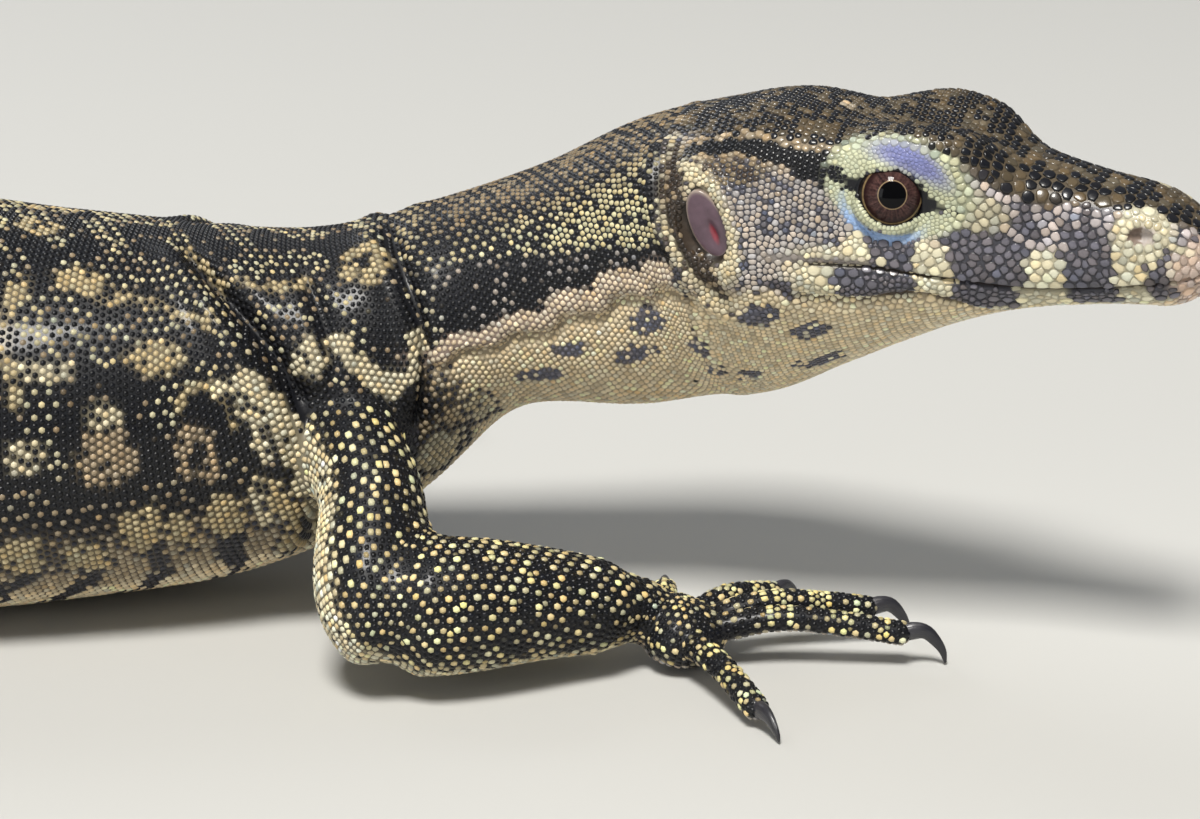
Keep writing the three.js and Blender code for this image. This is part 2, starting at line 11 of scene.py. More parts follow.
import bmesh
import bpy
import mathutils
import numpy as np
from mathutils.bvhtree import BVHTree
from mathutils.kdtree import KDTree
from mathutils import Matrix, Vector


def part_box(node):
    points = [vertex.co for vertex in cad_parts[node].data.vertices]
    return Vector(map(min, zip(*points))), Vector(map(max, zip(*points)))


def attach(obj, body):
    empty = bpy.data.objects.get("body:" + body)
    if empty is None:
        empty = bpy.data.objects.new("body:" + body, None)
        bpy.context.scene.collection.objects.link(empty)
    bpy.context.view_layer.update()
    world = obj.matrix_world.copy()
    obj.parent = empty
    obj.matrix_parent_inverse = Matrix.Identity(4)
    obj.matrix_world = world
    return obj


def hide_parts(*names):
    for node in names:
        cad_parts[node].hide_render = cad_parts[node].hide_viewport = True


MM = 0.001
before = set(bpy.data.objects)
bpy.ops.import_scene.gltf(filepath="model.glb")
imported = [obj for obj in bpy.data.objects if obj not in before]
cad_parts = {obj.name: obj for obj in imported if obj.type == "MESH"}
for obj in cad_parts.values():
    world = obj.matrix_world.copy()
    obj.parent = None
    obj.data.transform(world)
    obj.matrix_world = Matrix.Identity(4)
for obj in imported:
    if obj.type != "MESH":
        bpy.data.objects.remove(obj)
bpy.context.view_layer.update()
draw = np.random.default_rng(417)

# Sizes of the animal. The places of eyes, ears and nostrils are given in the head's frame.
TOTAL_LENGTH = 985.0
JAW_CORNER = 55.0
HEAD_END = 76.5  # where the scales of the head give way to those of the neck
NOSE_ROUNDING, TAIL_ROUNDING = 9.0, 5.0  # the lengths over which both ends close
SNOUT_TIP = np.array([123.0, -38.0, 64.0])
HEAD_YAW, HEAD_PITCH, HEAD_ROLL = 24.0, 1.0, 7.0
EYE_RADIUS = 5.2
CORNEA = 0.035  # how far its front bulges, as a share
EYE = {"back": 44.7, "out": 8.9, "up": 7.2}
GAZE = {"ahead": 0.36, "up": 0.34}
LIDS = {"upper": 37.0, "lower": 52.0, "front": 66.0, "rear": 64.0, "thick": 1.0, "reach": 96.0}
EAR = {"back": 69.3, "out": 17.0, "up": 3.0}
EAR_HALF = {"long": 3.0, "tall": 5.5, "depth": 2.2}
EAR_LEAN = np.radians(-21.0)
RECESS_BEHIND, RECESS_LOWER = 2.3, 0.3  # from the ear's middle to that of the hollow behind it
RECESS_HALF = {"long": 2.3, "tall": 5.0, "depth": 1.9}
NOSTRIL = {"back": 10.4, "out": 7.7, "up": 3.4}
NOSTRIL_HALF = {"long": 1.9, "tall": 1.3, "depth": 1.5}
COAT = 0.3  # the skin lies this far inside the solids
FLOOR_GAP = 0.02  # how close skin and claws come to the floor
# The photo's view: the point in its middle, and the camera's distance in millimetres.
CAMERA = {"target": np.array([38.2, 0.0, 28.9]), "distance": 450.0, "elevation": 18.0}
PICTURE_WIDTH, FOCAL_PIXELS, SENSOR = 1200, 3000.0, 36


def curve_through(rows):
    """A smooth curve through a table's rows, whose first column is the place along it."""
    rows = np.array(rows, float)
    at, values = rows[:, 0], rows[:, 1:]
    steps = np.diff(at)[:, None]
    rise = np.diff(values, axis=0) / steps
    inner = (rise[:-1] * steps[1:] + rise[1:] * steps[:-1]) / (steps[:-1] + steps[1:])
    slopes = np.vstack([rise[:1], inner, rise[-1:]])

    def curve(place):
        s = np.clip(np.asarray(place, float), at[0], at[-1])
        i = np.clip(np.searchsorted(at, s, side="right") - 1, 0, len(at) - 2)
        h = (at[i + 1] - at[i])[..., None]
        t = (s - at[i])[..., None] / h
        return (
            (1 + 2 * t) * (1 - t) ** 2 * values[i]
            + t * (1 - t) ** 2 * h * slopes[i]
            + t * t * (3 - 2 * t) * values[i + 1]
            + t * t * (t - 1) * h * slopes[i + 1]
        )

    return curve


def smooth(value, low, high):
    """0 below the first limit and 1 above the second, with a smooth rise between them."""
    t = np.clip((np.asarray(value, float) - low) / (high - low), 0, 1)
    return t * t * (3 - 2 * t)


def inside(away, soft=0.18):
    """1 where a distance over its limit is below one, softly down to 0 above it."""
    return 1 - smooth(away, 1 - soft, 1 + soft)


def hill(place, middle, half):
    """1 at the middle, falling away on both sides of it."""
    return np.exp(-(((place - middle) / half) ** 2))


def rounded(share):
    """The width of a round end: 0 at the end itself, 1 from where the share is one."""
    return np.sqrt(1 - (1 - np.clip(share, 0, 1)) ** 2)


def unit(vectors):
    """Vectors made one long."""
    return vectors / np.maximum(np.linalg.norm(vectors, axis=-1, keepdims=True), 1e-9)


def rotation(axis, degrees):
    """The matrix of a turn about an axis of the frame."""
    c, s = np.cos(np.radians(degrees)), np.sin(np.radians(degrees))
    turns = {
        "x": [[1, 0, 0], [0, c, -s], [0, s, c]],
        "y": [[c, 0, s], [0, 1, 0], [-s, 0, c]],
        "z": [[c, -s, 0], [s, c, 0], [0, 0, 1]],
    }
    return np.array(turns[axis])


HEAD_TURN = rotation("z", -HEAD_YAW) @ rotation("y", -HEAD_PITCH) @ rotation("x", HEAD_ROLL)


def on_head(points):
    """Points given in the head's frame, +X to the snout and from its tip."""
    return SNOUT_TIP + np.asarray(points, float) @ HEAD_TURN.T


def into_head(points):
    """The same points in the head's frame."""
    return (np.asarray(points, float) - SNOUT_TIP) @ HEAD_TURN


# The line of the body: back, then x, y, z and roll.
spine = curve_through(
    [[back, *on_head([-back, 0, 0]), HEAD_ROLL] for back in (0, 20, 40, 56, 62)]
    + [
        [80, 50, -5.6, 60.6, 6],
        [95, 37, -2.4, 54, 4],
        [115, 19.5, -0.2, 45.6, 2],
        [137, 0, 0, 35.5, 0],
        [153, -15.5, 0, 31.2, 0],
        [178, -40, 0.5, 30, 0],
        [205, -67, 2, 30, 0],
        [245, -107, 5, 30, 0],
        [295, -156, 9, 29, 0],
        [340, -201, 12, 26, 0],
        [372, -232, 12, 23, 0],
        [410, -270, 8, 18, 0],
        [470, -329, -1, 15, 0],
        [550, -406, -22, 12.3, 0],
        [640, -493, -44, 9.8, 0],
        [730, -582, -46, 7.8, 0],
        [820, -668, -24, 5.8, 0],
        [905, -744, 14, 3.8, 0],
        [TOTAL_LENGTH, -812, 56, 1.8, 0],
    ]
)
# Its section: back, half width, height above and depth below the line, and how square it
# is above and below.
section = curve_through(
    [
        [0, 6.8, 3.6, 8.6, 2.2, 2.2],
        [6, 7.6, 5.7, 8.7, 2.3, 2.2],
        [12, 8.2, 7.7, 8.8, 2.4, 2.2],
        [20, 9.0, 9.7, 9.6, 2.5, 2.2],
        [29, 10.6, 12.0, 11.2, 2.6, 2.1],
        [36, 12.2, 15.0, 13.4, 2.6, 2.1],
        [44, 13.9, 16.2, 17.0, 2.5, 2.0],
        [54, 15.8, 17.2, 22.0, 2.4, 2.0],
        [64, 17.0, 16.4, 26.8, 2.3, 2.0],
        [76, 17.0, 15.2, 28.6, 2.1, 2.0],
        [95, 16.2, 14.8, 25.0, 2.0, 2.0],
        [115, 16.8, 16.6, 17.0, 2.0, 2.0],
        [137, 20.5, 22.6, 22.4, 2.0, 2.0],
        [153, 25.5, 26.2, 25.5, 2.0, 2.1],
        [178, 31.5, 28.8, 28.6, 2.0, 2.2],
        [205, 35.5, 31.6, 30.4, 2.0, 2.4],
        [245, 38.0, 32.2, 30.5, 2.0, 2.5],
        [295, 37.0, 31.0, 29.5, 2.0, 2.5],
        [340, 32.0, 27.2, 26.4, 2.0, 2.4],
        [372, 26.0, 22.5, 23.2, 2.0, 2.3],
        [410, 18.5, 18.5, 18.2, 1.9, 2.2],
        [440, 15.8, 18.2, 16.8, 1.8, 2.2],
        [470, 14.0, 17.2, 15.2, 1.8, 2.1],
        [550, 10.6, 14.6, 12.5, 1.7, 2.0],
        [640, 8.0, 12.0, 10.0, 1.7, 2.0],
        [730, 6.0, 9.6, 8.0, 1.7, 2.0],
        [820, 4.3, 7.0, 6.0, 1.7, 2.0],
        [905, 2.9, 4.5, 4.0, 1.8, 2.0],
        [TOTAL_LENGTH, 1.7, 2.2, 2.0, 2.0, 2.0],
    ]
)
# How far the neck's line has sunk from the head's axis at the ear.
EAR_LINE = into_head(spine(EAR["back"])[:3])[2]
# Low swellings and hollows of the head: where, how far they spread, how high they stand.
HEAD_FORMS = {
    "brow": ([39.8, 8.8, 15.0], [8.0, 4.4, 5.0], 3.6),
    "front of the brow": ([32.0, 8.0, 13.5], [4.4, 4.4, 5.0], 2.3),
    "behind the brow": ([51.5, 6.0, 17.0], [4.5, 8.0, 5.0], -0.8),
    "back of the crown": ([63.0, 4.0, 16.5], [7.0, 8.5, 5.0], 0.9),
    "brow edge": ([43.0, 12.0, 12.8], [8.0, 2.6, 2.4], 0.9),
    "between the brows": ([42, 0, 16], [10, 4.8, 5], -1.7),
    "eye hollow": ([43.6, 13.5, 6.8], [8.4, 5.0, 5.8], -2.0),
    "side of the snout": ([25, 9.5, 3.0], [9, 5, 3.4], -0.8),
    "nose": ([9.5, 5.0, 6.0], [5.0, 4.0, 4.5], 0.6),
    "jaw muscle": ([61, 16.5, -5], [9, 6, 7], 1.1),
    "temple": ([57, 13.0, 9.0], [8, 4, 4], -0.5),
}
mouth_line = curve_through(
    [[-3, -2.2], [4, -2.9], [14, -4.7], [25, -5.5], [36, -3.9], [46, -2.2], [JAW_CORNER, -1.4]]
)
LIP_GROOVE = {"depth": 0.85, "half": 0.26}
# Creases of loose skin: for an angle round the body (degrees, on the right side), the
# place along it; how deep and how wide they are, and how much the rear edge swells.
CREASES = {
    "nape": (
        [[98, 120], [136, 119.4], [152, 119.6], [167, 120.5], [184, 123], [198, 126.5], [214, 131]],
        (1.7, 1.0, 0.7),
    ),
    "front of the shoulder": (
        [[120, 134.5], [145, 133.5], [158, 134], [174, 136], [188, 137.5], [215, 141]],
        (1.1, 1.0, 0.5),
    ),
    "shoulder": (
        [[104, 157], [114, 153.5], [132, 147.5], [150, 143.5], [165, 141.7], [194, 140.5], [240, 146]],
        (3.0, 1.7, 1.4),
    ),
}
# The wavy crease along each side of the neck and the one under the chin: the angle for
# each place along them.
side_crease = curve_through(
    [[70, 194], [78, 194.5], [86, 192.5], [98, 191.5], [107, 191.5], [113, 189.5], [119, 186.5], [124, 182]]
)
chin_crease = curve_through(
    [[22, 247], [31, 236], [35, 217], [40.5, 204], [47.5, 203], [54, 197.5], [61, 190]]
)


def right_side_angle(angle):
    """An angle in degrees on the right side of the body, from 90 above to 270 below."""
    turn = np.degrees(angle) % 360
    return np.where((turn < 90) | (turn > 270), (180 - turn) % 360, turn)


def from_side_crease(back, angle, radius):
    """Millimetres below the wavy crease of the neck."""
    wave = 0.5 * np.sin(back / 1.45) + 0.12 * np.sin(back / 0.7 + 1)
    return np.radians(right_side_angle(angle) - side_crease(back)[..., 0]) * radius - wave


def loose_skin(back, angle, radius):
    """The creases and the ridges beside them, in millimetres outwards."""
    turn = right_side_angle(angle)
    rise = np.zeros(np.broadcast(back, angle).shape)
    for line, (depth, half, swell) in CREASES.values():
        first, last = line[0][0], line[-1][0]
        ends = smooth(turn, first - 4, first + 12) * (1 - smooth(turn, last - 14, last + 6))
        away = (back - curve_through(line)(turn)[..., 0]) / half
        away = np.where(away < 0, away * 0.8, away)
        cut = depth * np.exp(-np.abs(away) ** 1.7)
        rise += ends * (swell * hill(away, 2.6, 1.7) + 0.4 * swell * hill(away, -2.6, 1.8) - cut)
    away = from_side_crease(back, angle, radius)
    ends = smooth(back, 66, 80) * (1 - smooth(back, 118, 125))
    rise += ends * (0.75 * hill(away, -1.25, 1.1) - 1.35 * hill(away, 0, 0.65))
    away = np.radians(turn - chin_crease(back)[..., 0]) * radius
    ends = smooth(back, 20, 28) * (1 - smooth(back, 55, 62))
    rise += ends * (0.35 * hill(away, -1.9, 1.2) - 0.9 * hill(away, 0, 0.55))
    return rise


def ear_reach(back, up):
    """How far a place is from the middle of the ear, 1 at its edge, and how far ahead."""
    along, above = EAR["back"] - back, up - EAR["up"]
    ahead = along * np.cos(EAR_LEAN) - above * np.sin(EAR_LEAN)
    above = along * np.sin(EAR_LEAN) + above * np.cos(EAR_LEAN)
    return np.hypot(ahead / EAR_HALF["long"], above / EAR_HALF["tall"]), ahead


def relief(back, y, z):
    """How far the surface stands out from the plain section there."""
    rise = np.zeros(np.broadcast(back, y).shape)
    reach, ahead = ear_reach(back, z + EAR_LINE)
    front = smooth(ahead, -2.0, 1.5)
    fold = (0.3 + 0.85 * front) * hill(reach, 1.42, 0.3)
    fold += 0.9 * (1 - front) * hill(reach, 2.5, 0.3)
    rise += fold * (np.abs(y) > 8)
    for (b, out, up), (db, dout, dup), high in HEAD_FORMS.values():
        near = ((back - b) / db) ** 2 + ((np.abs(y) - out) / dout) ** 2 + ((z - up) / dup) ** 2
        rise += high * np.exp(-near) * (back < 90)
    ends = 1 - smooth(back, JAW_CORNER - 4, JAW_CORNER + 4)
    rise -= LIP_GROOVE["depth"] * hill(z, mouth_line(back)[..., 0], LIP_GROOVE["half"]) * ends
    return rise


def section_point(back, angle, grow=0.0):
    """How far left of the body's line and above it a point of the surface lies."""
    half, above, below, square_above, square_below = np.moveaxis(section(back), -1, 0)
    size = rounded(back / NOSE_ROUNDING) * rounded((TOTAL_LENGTH - back) / TAIL_ROUNDING)
    across, up = np.cos(angle), np.sin(angle)
    power = 2 / np.where(up > 0, square_above, square_below)
    y = half * size * np.sign(across) * np.abs(across) ** power
    z = np.where(up > 0, above, below) * size * np.sign(up) * np.abs(up) ** power
    radius = np.maximum(np.hypot(y, z), 1e-6)
    rise = relief(back, y, z) + loose_skin(back, angle, radius)
    stretch = (radius + rise * size + grow * np.minimum(size * 2, 1)) / radius
    return y * stretch, z * stretch


def frame_at(back):
    """Origin, forward, left and up of the trunk's section."""
    row = spine(back)
    ahead, behind = spine(np.maximum(back - 8, 0)), spine(np.minimum(back + 8, TOTAL_LENGTH))
    forward = unit(ahead[..., :3] - behind[..., :3])
    left = unit(np.cross([0.0, 0.0, 1.0], forward))
    up = np.cross(forward, left)
    roll = np.radians(row[..., 3:4])
    turned = left * np.cos(roll) + up * np.sin(roll)
    return row[..., :3], forward, turned, np.cross(forward, turned)


def trunk_point(back, angle, grow=0.0):
    """The trunk's surface at a place along it and an angle (radians) round it."""
    back, angle = np.broadcast_arrays(np.asarray(back, float), np.asarray(angle, float))
    origin, _, left, up = frame_at(back)
    y, z = section_point(back, angle, grow)
    return origin + left * y[..., None] + up * z[..., None]


class Tube:
    """A limb or toe: a smooth line with a half width and a half height along it."""

    def __init__(self, places, end_rounding=0.8):
        self.rows = np.array(places, float)
        points = self.rows[:, :3]
        self.points = np.vstack([2 * points[0] - points[1], points, 2 * points[-1] - points[-2]])
        steps = np.linspace(0, 1, len(points))
        self.sizes = curve_through(np.column_stack([steps, self.rows[:, 3:5]]))
        self.end_rounding = end_rounding
        line = self.at(np.linspace(0, 1, 201))
        self.length = np.linalg.norm(np.diff(line, axis=0), axis=1).sum()

    def at(self, u):
        """Points of the line at places from 0 to 1, on a smooth curve through its points."""
        u = np.clip(np.asarray(u, float), 0, 1)
        spans = len(self.rows) - 1
        i = np.minimum((u * spans).astype(int), spans - 1)
        t = (u * spans - i)[..., None]
        p0, p1, p2, p3 = (self.points[i + k] for k in range(4))
        pairs = ((p0, p1), (p1, p2), (p2, p3))
        gap = [np.linalg.norm(b - a, axis=-1, keepdims=True) ** 0.5 for a, b in pairs]
        start = (p1 - p0) / gap[0] - (p2 - p0) / (gap[0] + gap[1]) + (p2 - p1) / gap[1]
        end = (p2 - p1) / gap[1] - (p3 - p1) / (gap[1] + gap[2]) + (p3 - p2) / gap[2]
        start, end = start * gap[1], end * gap[1]
        return (
            p1
            + start * t
            + (3 * (p2 - p1) - 2 * start - end) * t**2
            + (2 * (p1 - p2) + start + end) * t**3
        )

    def surface(self, u, angle, grow=0.0):
        """Points round the line, further out by a length in millimetres."""
        u, angle = np.broadcast_arrays(np.asarray(u, float), np.asarray(angle, float))
        forward = unit(self.at(u + 1e-4) - self.at(u - 1e-4))
        left = unit(np.cross([0.0, 0.0, 1.0], forward))
        above = np.cross(forward, left)
        wide, high = np.moveaxis(self.sizes(u), -1, 0)
        from_end = np.minimum(u, 1 - u) * self.length
        reach = np.maximum(wide, high) * self.end_rounding
        size = np.maximum(rounded(from_end / reach), 0.03)
        lengthwise = np.sqrt(1 - size**2) * grow * np.where(u < 0.5, -1, 1)
        return (
            self.at(u)
            + forward * lengthwise[..., None]
            + left * ((wide + grow) * size * np.cos(angle))[..., None]
            + above * ((high + grow) * size * np.sin(angle))[..., None]
        )


# The limbs, as in the solids: places are x, y, z, half width and half height. A palm has
# a length, half width and half height. A digit has the place where it leaves the palm
# (forward and outward), its turn from the foot's heading, its length and its lift.
HIND_DIGITS = [
    (10.0, -5.2, -44, 12.5, 0),
    (14.0, -4.0, -20, 19, 0.6),
    (15.5, -1.0, -2, 26, 0.8),
    (15.0, 2.2, 15, 31, 0.8),
    (7.5, 5.0, 62, 20, 0),
]
LIMBS = {
    "arm_right": {
        "side": -1,
        "upper": [
            [-1, -12, 32, 7, 9],
            [5.5, -26, 24.5, 7.6, 8.4],
            [7, -38, 14, 8.6, 9],
            [11, -43, 7, 6.6, 7],
        ],
        "lower": [
            [6, -41, 12.5, 8.5, 9.4],
            [18, -38, 12.5, 9.6, 9.8],
            [31, -33.5, 11, 8.2, 8.0],
            [44.5, -29, 8.2, 5.8, 6.0],
        ],
        "wrist": [44, -29, 7.8],
        "heading": 4,
        "palm": [12, 7.4, 4.6],
        "digits": [
            (3.0, -5.5, -92, 13.5, 3.6),
            (8.5, -6.0, -50, 17, 3.4),
            (11.5, -4.0, -17, 23.5, 5.5),
            (11.8, 0.0, -4, 27, 5),
            (7.5, 4.8, 60, 20.5, 0.8),
        ],
    },
    "arm_left": {
        "side": 1,
        "upper": [[-3, 12, 31, 7.5, 9], [-14, 25, 27, 8.0, 8.6], [-32, 39, 18, 8.6, 8.8]],
        "lower": [
            [-34, 39, 17, 8.2, 9],
            [-32, 47, 15, 8.8, 9],
            [-27, 57, 11, 7.2, 7],
            [-20, 66, 7.4, 4.9, 4.7],
        ],
        "wrist": [-20.5, 66, 7],
        "heading": 24,
        "palm": [10.5, 6.4, 3.6],
        "digits": [
            (4.0, -4.5, -52, 12.5, 0),
            (9.0, -3.6, -27, 16.5, 0.4),
            (11.0, -1.0, -6, 22, 0.8),
            (10.5, 2.0, 16, 23, 0.6),
            (6.5, 4.5, 58, 18, 0),
        ],
    },
    "leg_right": {
        "side": -1,
        "upper": [[-237, -4, 25, 9, 10], [-231, -22, 25, 11.5, 12], [-221, -45, 19, 9.6, 9.6]],
        "lower": [
            [-219, -46.5, 18, 8.6, 9.2],
            [-229, -51, 15, 9.6, 9.6],
            [-244, -57, 11, 7.6, 7.2],
            [-256, -62, 7.4, 5.4, 5.0],
        ],
        "wrist": [-256, -62, 6.8],
        "heading": 38,
        "palm": [15, 7.0, 3.8],
        "digits": HIND_DIGITS,
    },
    "leg_left": {
        "side": 1,
        "upper": [[-237, 26, 25, 9, 10], [-227, 43, 25, 11.5, 12], [-208, 62, 18.5, 9.6, 9.6]],
        "lower": [
            [-206, 63, 17.5, 8.6, 9.2],
            [-214, 70, 14.5, 9.6, 9.6],
            [-225, 80, 10.6, 7.6, 7.2],
            [-232, 89, 7.2, 5.4, 5.0],
        ],
        "wrist": [-232, 89, 6.6],
        "heading": 30,
        "palm": [15, 7.0, 3.8],
        "digits": HIND_DIGITS,
    },
}
DIGIT_HALF = {"root": 2.7, "joint": 2.2, "tip": 2.1, "high": 0.94}
CLAW = {"length": 5.0, "root": 1.35, "tip": 0.28, "arch": 0.35, "sunk": 1.2}
SOLE = 1.95  # how high the end of a toe's line lies over the floor


def foot_axes(limb):
    """The way that a foot points along the floor, and the way to its outer side."""
    turn = np.radians(limb["heading"])
    ahead = np.array([np.cos(turn), limb["side"] * np.sin(turn), 0])
    return ahead, np.array([-np.sin(turn), limb["side"] * np.cos(turn), 0])


def digit_line(limb, digit):
    """The direction of a toe, and its places from inside the palm to the tip."""
    forward, outward, turn, length, lift = digit
    ahead, out = foot_axes(limb)
    root = np.array(limb["wrist"], float) + ahead * forward + out * outward
    turn = np.radians(turn)
    along = ahead * np.cos(turn) + out * np.sin(turn)
    root_height = limb["palm"][2] + 0.4
    knuckle = root_height + lift * 0.45
    tip = SOLE + lift * 0.55
    heights = [root_height, knuckle, knuckle * 0.5 + tip * 0.5 + 0.4, tip]
    places = [root + along * length * share for share in (-0.14, 0.28, 0.64, 1)]
    return along, [[p[0], p[1], z] for p, z in zip(places, heights)]


def digit_tube(limb, digit):
    """A toe, from inside the palm to its round tip."""
    halves = [DIGIT_HALF[k] for k in ("root", "joint", "joint", "tip")]
    halves[2] *= 0.96
    places = digit_line(limb, digit)[1]
    return Tube([[*p, h, h * DIGIT_HALF["high"]] for p, h in zip(places, halves)])


def palm_tube(limb):
    """The flat of a hand or foot."""
    ahead, _ = foot_axes(limb)
    length, wide, high = limb["palm"]
    wrist = np.array(limb["wrist"], float)
    middle = wrist + ahead * length * 0.45
    front = wrist + ahead * length * 1.05
    middle = [middle[0], middle[1], high * 1.15, wide, high * 1.1]
    front = [front[0], front[1], high * 0.92 - 0.15, wide * 0.86, high * 0.92]
    return Tube([[*wrist, 5.2, 5.0], middle, front])


def wrist_tube(limb):
    """The narrow joint between the lower limb and the palm."""
    lower, palm = np.array(limb["lower"], float), palm_tube(limb).rows
    before, after = lower[-2] * 0.45 + lower[-1] * 0.55, palm[0] * 0.3 + palm[1] * 0.7
    middle = np.array([*limb["wrist"], 5.5, 5.3])
    before[3:] *= 0.86
    after[3:] *= 0.9
    return Tube([before, middle, after], 0.4)


def limb_tubes():
    """Every tube of the limbs by name."""
    tubes = {}
    for name, limb in LIMBS.items():
        tubes[f"{name}_upper"] = Tube(limb["upper"])
        tubes[f"{name}_lower"] = Tube(limb["lower"])
        tubes[f"{name}_palm"] = palm_tube(limb)
        tubes[f"{name}_wrist"] = wrist_tube(limb)
        for i, digit in enumerate(limb["digits"]):
            tubes[f"{name}_digit_{i + 1}"] = digit_tube(limb, digit)
    return tubes


def evenly_round(count):
    """Angles spread evenly round a circle."""
    return (np.arange(count) + 0.5) * 2 * np.pi / count


def places_along(steps):
    """Places from 0 to 1, closer together towards both ends."""
    return (1 - np.cos(np.pi * np.arange(steps + 1) / steps)) / 2


def ring_faces(rows, sides, closed=False):
    """Faces between each ring of points and the next, and from the last to the first."""
    row, side = np.arange(rows if closed else rows - 1)[:, None], np.arange(sides)[None, :]
    after, below = (side + 1) % sides, (row + 1) % rows
    corners = [row * sides + side, row * sides + after, below * sides + after, below * sides + side]
    return np.stack(corners, -1).reshape(-1, 4)


def closed_grid(rings):
    """Points and faces of a closed skin over rings of points, with a cap at each end."""
    rows, sides = rings.shape[:2]
    points = np.vstack([rings.reshape(-1, 3), rings[0].mean(axis=0), rings[-1].mean(axis=0)])
    ring = np.arange(sides)
    after = (ring + 1) % sides
    last_ring = (rows - 1) * sides
    start = np.column_stack([np.full(sides, rows * sides), after, ring])
    end = np.column_stack([np.full(sides, rows * sides + 1), last_ring + ring, last_ring + after])
    return points, ring_faces(rows, sides), np.vstack([start, end])


def make_mesh(name, points, *face_sets):
    """A mesh in metres from points in millimetres and arrays of faces."""
    mesh = bpy.data.meshes.new(name)
    mesh.vertices.add(len(points))
    mesh.vertices.foreach_set("co", (np.asarray(points) * MM + shift).ravel())
    sizes = np.concatenate([np.full(len(f), f.shape[1]) for f in face_sets])
    corners = np.concatenate([f.ravel() for f in face_sets]).astype(np.int32)
    mesh.loops.add(len(corners))
    mesh.loops.foreach_set("vertex_index", corners)
    mesh.polygons.add(len(sizes))
    mesh.polygons.foreach_set("loop_start", (np.cumsum(sizes) - sizes).astype(np.int32))
    mesh.polygons.foreach_set("loop_total", sizes.astype(np.int32))
    mesh.update(calc_edges=True)
    mesh.validate()
    mesh.shade_smooth()
    return mesh


def place_object(name, data):
    """An object of the scene at its origin: a mesh, a lamp or a camera."""
    piece = bpy.data.objects.new(name, data)
    bpy.context.scene.collection.objects.link(piece)
    return piece


def mesh_points(mesh):
    """The points of a mesh, in millimetres in the animal's own frame."""
    flat = np.empty(len(mesh.vertices) * 3, np.float32)
    mesh.vertices.foreach_get("co", flat)
    return (flat.reshape(-1, 3).astype(float) - shift) / MM


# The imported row's frame is moved from the animal's own: the eyes tell by how much.
eye_boxes = [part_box("eye_left"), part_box("eye_right")]
eye_middle = np.mean([np.mean(box, axis=0) for box in eye_boxes], axis=0)
shift = eye_middle - on_head([-EYE["back"], 0, EYE["up"]]) * MM

TRUNK_SIDES = 128  # points in each ring of the trunk's skin


def lip_angles(back):
    """The angle of the mouth line on the right side of the head, and on the left."""
    below, square = np.moveaxis(section(back)[..., [2, 4]], -1, 0)
    size = rounded(np.maximum(back / NOSE_ROUNDING, 0.02))
    drop = -mouth_line(back)[..., 0] / (below * size)
    lift = np.arcsin(np.clip(drop, 0, 0.95) ** (square / 2))
    return np.pi + lift, -lift


def mouth_height(back, turn):
    """How far above the line of the mouth a place on the head is, in millimetres."""
    return np.radians(np.degrees(lip_angles(back)[0]) - turn) * section(back)[..., 0]


def ring_angles(back):
    """Angles round each section, closer together beside the mouth line."""
    right, left = lip_angles(back)
    share = np.arange(TRUNK_SIDES // 2) / (TRUNK_SIDES // 2)
    crowding = 0.72 * (1 - smooth(back, 54, 74))[:, None]
    eased = share - crowding * np.sin(2 * np.pi * share) / (2 * np.pi)
    over = left[:, None] + (right - left)[:, None] * eased
    under = right[:, None] + (left + 2 * np.pi - right)[:, None] * eased
    return np.concatenate([over, under], axis=1)


def trunk_rows():
    """Places along the body where the skin has a ring of points, closest on the head."""
    nose = NOSE_ROUNDING * (1 - np.cos(np.linspace(0.06, np.pi / 2, 22)))
    tip = TOTAL_LENGTH - TAIL_ROUNDING * (1 - np.cos(np.linspace(np.pi / 2, 0.1, 6)))
    lengths = [(9.6, 78, 0.6), (78, 160, 0.75), (160, 230, 1.7), (231, 430, 2.8)]
    lengths.append((432, TOTAL_LENGTH - 6, 4.5))
    return np.concatenate([nose, *(np.arange(*length) for length in lengths), tip])


def skin_sources():
    """For the trunk and each tube: its points, their places along it and angles round it."""
    backs = trunk_rows()
    angles = ring_angles(backs)
    rings = trunk_point(backs[:, None], angles, -COAT)
    sources = {"trunk": (rings, backs[:, None] + 0 * angles, angles)}
    for name, tube in TUBES.items():
        steps, sides = (22, 14) if "digit" in name else (34, 36)
        u, around = places_along(steps)[:, None], evenly_round(sides)
        sources[name] = (tube.surface(u, around[None, :], -COAT), u + 0 * around, 0 * u + around)
    return sources


def beside_head(at, side):
    """A named place of the head, on its left (1) or right (-1)."""
    return np.array([-at["back"], side * at["out"], at["up"]])


def gaze(side):
    """The eye's own axes in the head's frame: forward along the lids, up, and out."""
    out = unit(np.array([GAZE["ahead"], side * 1.0, GAZE["up"]]))
    along_lids = np.array([1.0, 0, -0.2])
    ahead = unit(along_lids - out * (out @ along_lids))
    return ahead, np.cross(out, ahead) * -side, out


def on_eye(side, turn, lift_from_axis, radius):
    """Points round the eye: an angle about its axis, one away from it, and a radius."""
    ahead, up, out = gaze(side)
    sideways = np.sin(lift_from_axis) * radius
    return on_head(
        beside_head(EYE, side)
        + ahead * (sideways * np.cos(turn))[..., None]
        + up * (sideways * np.sin(turn))[..., None]
        + out * (np.cos(lift_from_axis) * radius)[..., None]
    )


def lid_opening(turn):
    """How far from the eye's axis the edge of the lids lies, in degrees."""
    up, ahead = np.sin(turn), np.cos(turn)
    corner = np.where(ahead > 0, LIDS["front"], LIDS["rear"])
    middle = np.where(up > 0, LIDS["upper"], LIDS["lower"])
    return middle + (corner - middle) * np.abs(ahead) ** 5


